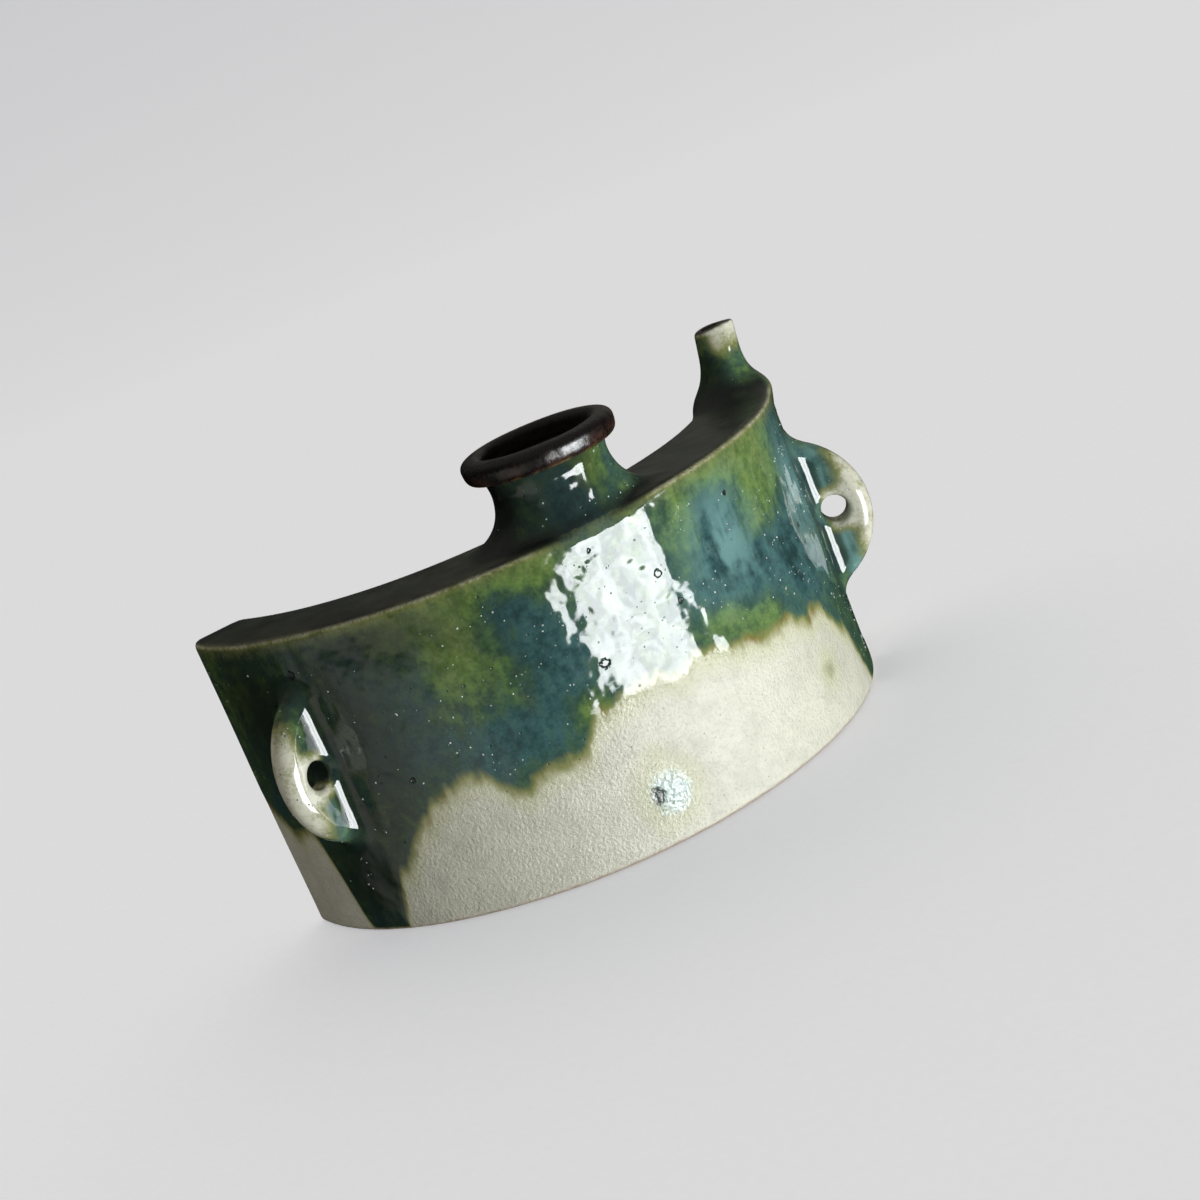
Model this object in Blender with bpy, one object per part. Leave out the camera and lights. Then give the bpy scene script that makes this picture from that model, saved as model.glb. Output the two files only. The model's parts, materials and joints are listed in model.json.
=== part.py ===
"""A slab-built stoneware hip flask: a crescent in plan, with a short neck, a small spout and two pierced lugs.

Metres, +Z up. The origin is on the base, under the neck. The convex front faces -Y and the hip side +Y.
"""

import math

import bmesh
import bpy
from mathutils import Matrix, Vector

MM = 0.001

# Body: two upright arcs that share the YZ plane, between a base slab and a top slab
BODY_HEIGHT = 80 * MM
BODY_DEPTH = 30.5 * MM
FRONT_RADIUS = 83.5 * MM
HIP_RADIUS = 75 * MM
TIP_REACH = 62 * MM
TIP_ROUND = 4.5 * MM
WALL = 5.5 * MM
SLAB = 6 * MM
FOOT_BEVEL = 1 * MM
TOP_EDGE_ROUND = 1.6 * MM
SEAM = 0.3 * MM
WALL_JOINT_ANGLE = math.radians(63)

# Coils worked into the inside corners
COIL_LEG = 4 * MM
COIL_HOLLOW = 1.5 * MM
BASE_COIL_REACH = 38 * MM
TIP_COIL_START = 49 * MM
TIP_COIL_ROUND = 1 * MM

# Neck and rolled mouth rim, on the Z axis
NECK_TOP = 96 * MM
NECK_WAIST_RADIUS = 14.4 * MM
NECK_WAIST_HEIGHT = 92 * MM
NECK_FOOT_WIDTH = 20 * MM
NECK_FOOT_DEPTH = 14.7 * MM
NECK_LIP_RADIUS = 15.4 * MM
NECK_BORE = 10.5 * MM
MOUTH_RADIUS = 13 * MM
RIM_ROLL_RADIUS = 16.2 * MM
RIM_ROLL_HEIGHT = 5.8 * MM
RIM_ROLL_WIDTH = 5.8 * MM

# Spout, near the right tip
SPOUT_X = 70 * MM
SPOUT_Y = 44.5 * MM
SPOUT_TOP = 99.5 * MM
SPOUT_LEAN = math.radians(4)
SPOUT_FOOT_RADIUS = 8.4 * MM
SPOUT_MIDDLE_RADIUS = 5.7 * MM
SPOUT_MIDDLE_HEIGHT = 87.5 * MM
SPOUT_TIP_RADIUS = 4.8 * MM
SPOUT_BORE = 3.5 * MM

# Lugs: circular segments that stand out from the front wall near the tips
LUG_ANGLE = math.radians(30)
LUG_LENGTH = 42 * MM
LUG_RISE = 14 * MM
LUG_THICKNESS = 7 * MM
LUG_EDGE_ROUND = 2 * MM
LUG_MIDDLE_HEIGHT = 44.5 * MM
LUG_HOLE_RADIUS = 4.45 * MM
LUG_HOLE_FROM_WALL = 5.9 * MM
LUG_HOLE_SKEW = math.radians(8)

FRONT_CENTRE = Vector((0, FRONT_RADIUS - BODY_DEPTH / 2))
HIP_CENTRE = Vector((0, HIP_RADIUS + BODY_DEPTH / 2))
FRONT_STEPS = 48
HIP_STEPS = 36
ROUND_STEPS = 4
RING_STEPS = 40
SMOOTH_ANGLE = math.radians(35)

GREEN_GLAZE = ("green_glaze", (0.045, 0.11, 0.085), 0.16)
IRON_GLAZE = ("iron_glaze", (0.022, 0.012, 0.009), 0.14)
BARE_CLAY = ("bare_clay", (0.33, 0.28, 0.22), 0.85)


def clear_scene():
    for obj in list(bpy.data.objects):
        bpy.data.objects.remove(obj, do_unlink=True)


def material(finish):
    name, colour, roughness = finish
    made = bpy.data.materials.get(name) or bpy.data.materials.new(name)
    made.use_nodes = True
    shader = made.node_tree.nodes["Principled BSDF"]
    shader.inputs["Base Color"].default_value = (*colour, 1)
    shader.inputs["Roughness"].default_value = roughness
    shader.inputs["Metallic"].default_value = 0
    made.diffuse_color = (*colour, 1)
    return made


def skin(name, loops, finish, ring=False):
    """A closed mesh over loops of equal length: capped at both ends, or joined last to first as a ring."""
    mesh = bmesh.new()
    rows = [[mesh.verts.new(point) for point in loop] for loop in loops]
    pairs = list(zip(rows, rows[1:]))
    if ring:
        pairs.append((rows[-1], rows[0]))
    count = len(rows[0])
    for low, high in pairs:
        for i in range(count):
            j = (i + 1) % count
            mesh.faces.new((low[i], low[j], high[j], high[i]))
    if not ring:
        mesh.faces.new(rows[0])
        mesh.faces.new(rows[-1])
    bmesh.ops.recalc_face_normals(mesh, faces=mesh.faces)
    data = bpy.data.meshes.new(name)
    mesh.to_mesh(data)
    mesh.free()
    data.shade_smooth()
    data.set_sharp_from_angle(angle=SMOOTH_ANGLE)
    data.materials.append(material(finish))
    obj = bpy.data.objects.new(name, data)
    bpy.context.scene.collection.objects.link(obj)
    return obj


def arc(centre, radius, start, end, steps):
    """Points from one angle to another, where 0 points along -Y and a positive angle turns towards +X."""
    angles = [start + (end - start) * i / steps for i in range(steps + 1)]
    return [centre + radius * Vector((math.sin(a), -math.cos(a))) for a in angles]


def mirrored(points):
    return [Vector((-p.x, p.y)) for p in reversed(points)]


def tip_corner(arc_centre, reach, tip, rounding):
    """The centre of a rounded tip corner, and its angle seen from the centre of the arc that it blends into."""
    y = tip - rounding
    x = math.sqrt(reach**2 - (y - arc_centre.y) ** 2)
    return Vector((x, y)), math.atan2(x, arc_centre.y - y)


def right_tip(front, hip, tip, rounding):
    """The rounded right tip from the front arc to the hip arc, with the angles at which it leaves them."""
    outer, front_angle = tip_corner(FRONT_CENTRE, front - rounding, tip, rounding)
    inner, hip_angle = tip_corner(HIP_CENTRE, hip + rounding, tip, rounding)
    points = arc(outer, rounding, front_angle, math.pi, ROUND_STEPS)
    points += arc(inner, rounding, math.pi, math.pi + hip_angle, ROUND_STEPS)
    return points, front_angle, hip_angle


def crescent(inset, tip=TIP_REACH, rounding=TIP_ROUND):
    """The plan outline, moved in from the outside of the walls by inset, counter-clockwise from the front left."""
    front, hip = FRONT_RADIUS - inset, HIP_RADIUS + inset
    right, front_angle, hip_angle = right_tip(front, hip, tip - inset, rounding)
    outline = arc(FRONT_CENTRE, front, -front_angle, front_angle, FRONT_STEPS)[1:-1]
    outline += right
    outline += arc(HIP_CENTRE, hip, hip_angle, -hip_angle, HIP_STEPS)[1:-1]
    return outline + mirrored(right)


def at_height(outline, z):
    return [Vector((p.x, p.y, z)) for p in outline]


def ellipse(width, depth, z, lean=0.0):
    """A level ring about the Z axis, shifted towards +X by lean."""
    turns = [2 * math.pi * i / RING_STEPS for i in range(RING_STEPS)]
    return [Vector((lean + width * math.cos(a), depth * math.sin(a), z)) for a in turns]


def cylinder_cutter(name, radius, length, place):
    """A hidden cylinder about the place matrix's Z axis, for cutting a hole."""
    mesh = bmesh.new()
    bmesh.ops.create_cone(
        mesh, cap_ends=True, segments=RING_STEPS, radius1=radius, radius2=radius, depth=length, matrix=place
    )
    data = bpy.data.meshes.new(name)
    mesh.to_mesh(data)
    mesh.free()
    cutter = bpy.data.objects.new(name, data)
    bpy.context.scene.collection.objects.link(cutter)
    cutter.hide_render = True
    cutter.display_type = "WIRE"
    return cutter


def cut(obj, cutter):
    modifier = obj.modifiers.new(cutter.name, "BOOLEAN")
    modifier.operation = "DIFFERENCE"
    modifier.solver = "EXACT"
    modifier.object = cutter


def base_slab():
    levels = ((0, FOOT_BEVEL), (FOOT_BEVEL, 0), (SLAB, 0))
    skin("base_slab", [at_height(crescent(inset), z) for z, inset in levels], BARE_CLAY)


def top_slab():
    under = BODY_HEIGHT - SLAB
    turn = [math.pi / 2 * i / ROUND_STEPS for i in range(ROUND_STEPS + 1)]
    loops = [at_height(crescent(0), under)]
    for a in turn:
        inset = TOP_EDGE_ROUND * (1 - math.cos(a))
        height = BODY_HEIGHT - TOP_EDGE_ROUND * (1 - math.sin(a))
        loops.append(at_height(crescent(inset), height))
    slab = skin("top_slab", loops, GREEN_GLAZE)
    middle = BODY_HEIGHT - SLAB / 2
    neck_hole = Matrix.Translation((0, 0, middle))
    spout_hole = Matrix.Translation((SPOUT_X, SPOUT_Y, middle))
    cut(slab, cylinder_cutter("neck_hole", NECK_BORE, 3 * SLAB, neck_hole))
    cut(slab, cylinder_cutter("spout_hole", SPOUT_BORE, 3 * SLAB, spout_hole))


def upright(name, outline, finish):
    """An outline carried from the base slab to the top slab, clear of both by the seam."""
    low, high = SLAB + SEAM, BODY_HEIGHT - SLAB - SEAM
    return skin(name, [at_height(outline, low), at_height(outline, high)], finish)


def front_wall():
    """The front slab, curled round both tips to a butt joint with the hip wall."""
    outer, front_angle, hip_angle = right_tip(FRONT_RADIUS, HIP_RADIUS, TIP_REACH, TIP_ROUND)
    inner, cavity_front, cavity_hip = right_tip(
        FRONT_RADIUS - WALL, HIP_RADIUS + WALL, TIP_REACH - WALL, TIP_COIL_ROUND
    )
    hip_end = arc(HIP_CENTRE, HIP_RADIUS, hip_angle, WALL_JOINT_ANGLE, ROUND_STEPS)[1:]
    hip_start = arc(HIP_CENTRE, HIP_RADIUS + WALL, WALL_JOINT_ANGLE, cavity_hip, ROUND_STEPS)[:-1]
    right = outer + hip_end + hip_start + inner[::-1]
    outline = arc(FRONT_CENTRE, FRONT_RADIUS, -front_angle, front_angle, FRONT_STEPS)[1:-1]
    outline += right
    outline += arc(FRONT_CENTRE, FRONT_RADIUS - WALL, cavity_front, -cavity_front, FRONT_STEPS)[1:-1]
    outline += mirrored(right)
    upright("front_wall", outline, GREEN_GLAZE)


def back_wall():
    """The hip slab, between the two butt joints."""
    end = WALL_JOINT_ANGLE - SEAM / HIP_RADIUS
    outline = arc(HIP_CENTRE, HIP_RADIUS + WALL, -end, end, HIP_STEPS)
    outline += arc(HIP_CENTRE, HIP_RADIUS, end, -end, HIP_STEPS)
    upright("back_wall", outline, GREEN_GLAZE)


def base_seam_coil():
    """A coil smoothed into the corner between walls and base: upright leg, hollow face, flat leg."""
    floor = SLAB + SEAM
    wall = WALL + SEAM
    section = ((0, 0), (0, COIL_LEG), (COIL_HOLLOW, COIL_HOLLOW), (COIL_LEG, 0))
    loops = []
    for inset, height in section:
        outline = crescent(wall + inset, BASE_COIL_REACH + wall, SEAM)
        loops.append(at_height(outline, floor + height))
    skin("base_seam_coil", loops, BARE_CLAY, ring=True)


def tip_coil(name, side):
    """An upright coil that fills the sharp inside corner at one tip."""
    inset = WALL + SEAM
    front, hip = FRONT_RADIUS - inset, HIP_RADIUS + inset
    tip, front_angle, hip_angle = right_tip(front, hip, TIP_REACH - inset, TIP_COIL_ROUND)
    front_start = math.acos((FRONT_CENTRE.y - TIP_COIL_START) / front)
    hip_end = math.acos((HIP_CENTRE.y - TIP_COIL_START) / hip)
    outline = arc(FRONT_CENTRE, front, front_start, front_angle, ROUND_STEPS)[:-1]
    outline += tip
    outline += arc(HIP_CENTRE, hip, hip_angle, hip_end, ROUND_STEPS)[1:]
    upright(name, outline if side > 0 else mirrored(outline), BARE_CLAY)


def concave(start, end, share):
    """A hollow quarter-round blend from start to end, steep at the end."""
    return start + (end - start) * math.sin(share * math.pi / 2)


def flared_loops(foot, waist, foot_height, waist_height, steps=6):
    """Rings of a foot that sweeps in and up: (width, depth) at the foot and at the waist."""
    rows = []
    for i in range(steps + 1):
        share = i / steps
        height = foot_height + (waist_height - foot_height) * (1 - math.cos(share * math.pi / 2))
        width = concave(foot[0], waist[0], share)
        depth = concave(foot[1], waist[1], share)
        rows.append((width, depth, height))
    return rows


def neck():
    """The collar: an oval foot as deep as the top slab allows, a round waist, and a lip that carries the rim."""
    foot = (NECK_FOOT_WIDTH, NECK_FOOT_DEPTH)
    waist = (NECK_WAIST_RADIUS, NECK_WAIST_RADIUS)
    foot_height = BODY_HEIGHT + SEAM
    outside = flared_loops(foot, waist, foot_height, NECK_WAIST_HEIGHT)
    outside.append((NECK_LIP_RADIUS, NECK_LIP_RADIUS, NECK_TOP - SEAM))
    inside = [
        (MOUTH_RADIUS - WALL / 4, MOUTH_RADIUS - WALL / 4, NECK_TOP - SEAM),
        (NECK_BORE, NECK_BORE, NECK_WAIST_HEIGHT),
        (NECK_BORE, NECK_BORE, foot_height),
    ]
    loops = [ellipse(width, depth, z) for width, depth, z in outside + inside]
    skin("neck", loops, GREEN_GLAZE, ring=True)


def mouth_rim():
    """A roll of clay round the mouth, pressed flat where it sits on the neck."""
    sides = 16
    low = NECK_TOP
    middle = low + RIM_ROLL_HEIGHT / 2
    loops = []
    for i in range(sides):
        a = 2 * math.pi * i / sides
        radius = RIM_ROLL_RADIUS + RIM_ROLL_WIDTH / 2 * math.cos(a)
        height = middle + RIM_ROLL_HEIGHT / 2 * math.sin(a)
        loops.append(ellipse(radius, radius, height))
    skin("mouth_rim", loops, IRON_GLAZE, ring=True)


def spout():
    """A rolled tube with a flared foot, leaning out towards the tip."""
    foot = (SPOUT_FOOT_RADIUS, SPOUT_FOOT_RADIUS)
    middle = (SPOUT_MIDDLE_RADIUS, SPOUT_MIDDLE_RADIUS)
    foot_height = BODY_HEIGHT + SEAM
    outside = flared_loops(foot, middle, foot_height, SPOUT_MIDDLE_HEIGHT)
    outside.append((SPOUT_TIP_RADIUS, SPOUT_TIP_RADIUS, SPOUT_TOP))
    inside = [(SPOUT_BORE, SPOUT_BORE, SPOUT_TOP), (SPOUT_BORE, SPOUT_BORE, foot_height)]
    loops = []
    for width, depth, z in outside + inside:
        lean = (z - foot_height) * math.tan(SPOUT_LEAN)
        loops.append(ellipse(width, depth, z, lean))
    tube = skin("spout", loops, GREEN_GLAZE, ring=True)
    tube.location = (SPOUT_X, SPOUT_Y, 0)


def lug_outline(inset):
    """The lug's D shape, seen along its hole: X out from the wall, Y up. Its straight side stays at the seam."""
    radius = ((LUG_LENGTH / 2) ** 2 + LUG_RISE**2) / (2 * LUG_RISE)
    centre = LUG_RISE - radius
    reach = radius - inset
    half = math.acos((SEAM - centre) / reach)
    steps = 28
    turns = [-half + 2 * half * i / steps for i in range(steps + 1)]
    return [(centre + reach * math.cos(a), reach * math.sin(a)) for a in turns]


def lug(name, side):
    """A pierced ear with rounded edges. Its hole runs along the wall, turned a little towards the front."""
    flat = LUG_THICKNESS / 2 - LUG_EDGE_ROUND
    loops = []
    for i in range(2 * ROUND_STEPS + 2):
        step, face = (i, -1) if i <= ROUND_STEPS else (i - 1, 1)
        a = -math.pi / 2 + math.pi * step / (2 * ROUND_STEPS)
        inset = LUG_EDGE_ROUND * (1 - math.cos(a))
        across = face * flat + LUG_EDGE_ROUND * math.sin(a)
        loops.append([Vector((out, across, up)) for out, up in lug_outline(inset)])
    ear = skin(name, loops, GREEN_GLAZE)
    skew = Matrix.Rotation(side * LUG_HOLE_SKEW, 4, "Z")
    hole = Matrix.Translation((LUG_HOLE_FROM_WALL, 0, 0)) @ skew @ Matrix.Rotation(math.pi / 2, 4, "X")
    cutter = cylinder_cutter(name + "_hole", LUG_HOLE_RADIUS, 3 * LUG_THICKNESS, hole)
    cut(ear, cutter)
    heading = -LUG_ANGLE if side > 0 else math.pi + LUG_ANGLE
    wall = FRONT_CENTRE + FRONT_RADIUS * Vector((math.cos(heading), math.sin(heading)))
    for obj in (ear, cutter):
        obj.location = (wall.x, wall.y, LUG_MIDDLE_HEIGHT)
        obj.rotation_euler = (0, 0, heading)


def main():
    clear_scene()
    base_slab()
    front_wall()
    back_wall()
    base_seam_coil()
    tip_coil("left_tip_coil", -1)
    tip_coil("right_tip_coil", 1)
    top_slab()
    neck()
    mouth_rim()
    spout()
    lug("left_lug", -1)
    lug("right_lug", 1)


main()
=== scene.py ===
"""The looks of a slab-built stoneware hip flask in running green glaze, laid out as a Blender add-on.

Metres, +Z up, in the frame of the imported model. The clay is described by signed distances, less than zero
inside, so that the joints between slabs, neck, spout and lugs are worked smooth as a potter leaves them under
the glaze. Each piece is then the stretch of that clay which its own node holds.
"""

import json
import math
from itertools import combinations
from types import SimpleNamespace

import bpy
import numpy as np
from mathutils import Matrix, Vector

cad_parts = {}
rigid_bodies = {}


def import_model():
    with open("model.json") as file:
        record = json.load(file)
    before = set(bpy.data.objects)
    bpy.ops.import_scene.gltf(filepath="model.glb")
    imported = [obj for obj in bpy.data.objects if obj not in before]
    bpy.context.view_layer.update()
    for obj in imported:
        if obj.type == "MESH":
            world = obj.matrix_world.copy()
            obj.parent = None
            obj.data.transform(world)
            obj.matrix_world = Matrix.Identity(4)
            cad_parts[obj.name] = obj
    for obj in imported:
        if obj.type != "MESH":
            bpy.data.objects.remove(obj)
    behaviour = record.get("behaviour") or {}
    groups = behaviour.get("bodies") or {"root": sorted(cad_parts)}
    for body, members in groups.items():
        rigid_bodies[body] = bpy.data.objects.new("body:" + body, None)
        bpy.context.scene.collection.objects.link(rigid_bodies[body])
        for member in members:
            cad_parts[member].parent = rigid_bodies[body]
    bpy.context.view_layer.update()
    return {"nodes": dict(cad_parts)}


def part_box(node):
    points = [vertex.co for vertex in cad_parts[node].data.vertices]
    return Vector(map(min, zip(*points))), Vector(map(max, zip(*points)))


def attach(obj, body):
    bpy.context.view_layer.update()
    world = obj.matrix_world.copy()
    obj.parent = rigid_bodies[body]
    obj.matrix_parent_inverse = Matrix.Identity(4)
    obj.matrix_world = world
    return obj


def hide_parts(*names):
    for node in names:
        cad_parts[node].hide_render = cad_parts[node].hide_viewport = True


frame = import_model()

bl_info = {
    "name": "Crescent flask",
    "version": (1, 0, 0),
    "blender": (4, 5, 0),
    "location": "View3D > Sidebar > Flask",
    "description": "Makes the glazed clay pieces of a crescent hip flask, and the stage it stands on",
    "category": "Mesh",
}

MM = 0.001
BODY = "root"

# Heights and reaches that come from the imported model
BODY_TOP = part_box("top_slab")[1].z
TOP_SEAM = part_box("top_slab")[0].z
BASE_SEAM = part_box("base_slab")[1].z
FRONT_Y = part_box("base_slab")[0].y
TIP_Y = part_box("top_slab")[1].y
RIM_LOW, RIM_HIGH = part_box("mouth_rim")[0].z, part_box("mouth_rim")[1].z
SPOUT_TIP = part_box("spout")[1].z
LUG_MIDDLE = (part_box("right_lug")[0].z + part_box("right_lug")[1].z) / 2

# How neighbouring pieces lie at a seam: each runs on past it and dives, one of them a hair lower over the lap
SEAM_LAP = 2.4 * MM
SEAM_DIVE = 0.15 * MM
SEAM_HAIR = 0.003 * MM
BLEND_EDGE = 0.25 * MM
FITTING_ROOT = 2 * MM
RIM_BED = 1 * MM

# How far from an edge a fitting is worked in fully, and the least share of it
NECK_SKIRT, NECK_LEAST = 9 * MM, 0.17
SPOUT_SKIRT, SPOUT_LEAST = 12 * MM, 0.05

# The spout's tip: cut short, sloping to the back, dipping at its sides, with a soft edge
TIP_CUT, TIP_SLOPE = 0.7 * MM, 0.06
TIP_DIP, TIP_DIP_TURN = 0.5 * MM, 1.4
TIP_EDGE = 0.6 * MM

# Slow waves of the hand-rolled clay: lengths of the waves, and how far each pushes
WAVE_LENGTHS = (48 * MM, 57 * MM, 66 * MM, 78 * MM, 95 * MM, 120 * MM)
WAVE_PUSH = 0.2 * MM
WAVE_SEED = 11

# The glaze line round the girth, in mm: a level that rises at the middle of the front, then drips below it
LINE_LEVEL = 27
LINE_RISE = 11
LINE_RISE_HALF_WIDTH = 45
LINE_DRIPS = (
    # middle of the drip along the girth, half width, fall
    (-91, 8.5, 32),
    (-79, 10, 14),
    (-52, 7, -3),
    (-40, 6, 4.5),
    (-27, 8.5, 6.5),
    (70, 9, 8),
    (88, 13, 34),
    (-128, 9, -8),
    (-168, 8, 22),
    (-196, 12, -7),
    (122, 10, -5),
    (158, 9, 16),
    (184, 14, -8),
    (206, 7, 12),
)

# Fingers of that line: how long each wave is and how far it reaches, in mm
LINE_FINGERS = ((5.3, 0.25), (8.9, 0.4), (14.7, 0.7), (23.0, 0.7))

# Spots of green on the cream, and bubbles burst in the glaze: along the girth, height and radius, in mm
ISLANDS = ((-7, 13, 5.2), (-10, 8, 0.9), (-8, 20, 0.9), (53, 15.5, 1.4))
BURST_BUBBLES = (
    (10.5, 62, 1.3),
    (-10, 48.5, 1.5),
    (-3.5, 74.5, 0.8),
    (13.5, 53.5, 0.9),
    (-85, 70, 1.4),
    (-64, 38, 0.9),
    (-10.7, 13.2, 2.6),
    (66, 50, 0.8),
    (38, 70, 0.8),
)

# Patches of the glaze: middle along the girth and height, half sizes in mm, and 1 grass to -1 teal
PATCHES = (
    (-52, 74, 13, 6, 1.1),
    (-42, 63, 8, 11, 1.3),
    (-33, 57, 5, 6, 0.7),
    (-27, 64, 8, 13, -0.7),
    (-37, 40, 13, 8, -1.0),
    (-17, 75, 7, 5, 0.9),
    (-33, 77, 14, 4.5, 1.0),
    (36, 77, 14, 4, 1.0),
    (-17, 39, 5, 5, 0.8),
    (-18, 55, 6, 9, -0.7),
    (22, 71, 5, 8, 0.8),
    (33, 67, 9, 9, -1.0),
    (24, 43, 7, 5, 0.9),
    (35, 38, 7, 4, 0.9),
    (30, 52, 14, 6, -1.1),
    (55, 69, 15, 10, 1.4),
    (46, 59, 5, 4, 0.8),
    (56, 45, 14, 12, -1.1),
    (74, 62, 9, 15, -1.1),
    (-62, 55, 13, 18, -0.5),
    (104, 60, 16, 20, 0.4),
    (-110, 66, 18, 12, 0.5),
    (150, 66, 16, 12, 0.9),
    (182, 48, 16, 14, -0.9),
    (212, 62, 16, 14, 0.8),
    (-150, 58, 16, 14, -0.9),
    (-186, 68, 20, 10, 0.9),
    (-206, 46, 14, 12, -0.8),
    # on the neck
    (9, 93, 9, 7, 1.2),
    (-4, 86, 11, 8, -1.3),
)

# Milky places in the glaze, given like the patches; a strength below zero paints shade instead, mostly on the
# left of the front
MIST_AND_SHADE = (
    (-72, 50, 20, 45, -0.75),
    (-104, 58, 18, 34, -0.9),
    (-89, 12, 14, 16, -0.75),
    (-52, 73, 16, 7, -0.55),
    (-27, 63, 9, 12, -0.3),
    (32, 60, 13, 14, 1.0),
    (74, 58, 12, 18, 0.75),
    (-150, 60, 20, 14, 0.5),
    (190, 56, 22, 14, 0.6),
)

# Patterns in the materials, in cells for each metre, and how far two of them are drawn out upwards
BROAD, MOTTLE, STREAK, GRAIN = 95, 300, 420, 1150
LUMPS, RIPPLES, FOAM, FRAY = 80, 210, 800, 1000
PINHOLE_CELLS, FLECK_CELLS = 300.0, 420.0
RIM_BROAD, RIM_FINE, RIM_LUMPS = 150, 900, 110
CLAY_BROAD, CLAY_GRIT = 120, 1400
BLISTER_TINT, BLISTER_CROWDS = 700, 90
PAPER_TOOTH = 400
STREAK_DRAW = (1, 1, 0.22)
LUMP_DRAW = (1, 1, 0.7)

# Edge of a speck, from its rim inwards, in shares of a cell, and how far noise frays the glaze line, in mm
SPECK_EDGE = (0.11, 0.05)
LINE_FRAY = 3.6

# Relief of the materials
LUMP_RELIEF = 1.05 * MM
RIPPLE_RELIEF = 0.25 * MM
FOAM_RELIEF = 0.5 * MM
SAND_RELIEF = 0.46 * MM
BUBBLE_DEPTH = 0.3 * MM
PINHOLE_DEPTH = 0.12 * MM
RIM_RELIEF = 0.9 * MM
RIM_GRIT = 0.09 * MM
CLAY_RELIEF = 0.4 * MM
BLISTER_RELIEF = 0.02 * MM

# The rim: points round its ring and its section, and the slow noise along it
RING_POINTS, SECTION_POINTS = 180, 48
RING_DRIFT = 45.0

# Blisters: smallest and largest against a middling one, and height against width
BLISTER_SIZES = (0.3, 1.9)
BLISTER_HEIGHT = 0.55

# How far round its node a piece may reach
SLAB_MARGIN = 3 * MM
FITTING_MARGIN = 9 * MM
NECK_MARGIN = 12 * MM

# Edges that turn by more than this are shaded as edges
SHARP_ANGLE = math.radians(50)

# Floor: flat, then sweeping up to its edge. It is paler to the eye than its light alone makes it
FLOOR_FLAT, FLOOR_EDGE, FLOOR_RISE = 1.6, 2.9, 0.5
FLOOR_RINGS, FLOOR_TURNS = 24, 96
FLOOR_GAP, FLOOR_HOLE = 0.2 * MM, 2 * MM
PAPER_GLOW = 0.62

# Lamps: width and height, and headings as degrees right of the front and degrees up
WINDOW_SIZE, WINDOW_HEADING = (0.76, 0.46), (23.5, -19.5)
WINDOW_COLOUR = (0.95, 0.985, 1)
SIDE_SIZE, SIDE_HEADING = (0.4, 0.2), (62, -14)
LAMP_DISTANCE = 0.9
LAMP_FOCUS = Vector((0, FRONT_Y, 58 * MM))

# Sky: headings of the dim light on the left, the soft light behind, and the patch of it that the top mirrors
HAZE_HEADING = (-0.90, -0.34, -0.26)
BACK_HEADING = (0.0, 0.71, 0.71)
GLOW_HEADING = (0.62, 0.74, 0.26)
SKY_COLOUR = (1, 0.955, 0.87)
SKY_MIRRORED = 0.29


def length(name, description, millimetres):
    return bpy.props.FloatProperty(
        name=name, description=description, default=millimetres * MM, unit="LENGTH", precision=4
    )


def colour(name, description, rgb):
    return bpy.props.FloatVectorProperty(
        name=name, description=description, default=rgb, subtype="COLOR", size=3, min=0, max=1
    )


def angle(name, description, degrees):
    return bpy.props.FloatProperty(
        name=name, description=description, default=math.radians(degrees), subtype="ANGLE"
    )


def amount(name, description, value, **limits):
    return bpy.props.FloatProperty(name=name, description=description, default=value, **limits)


def choice(description, number):
    return bpy.props.IntProperty(name="Seed", description=description, default=number)


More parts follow.
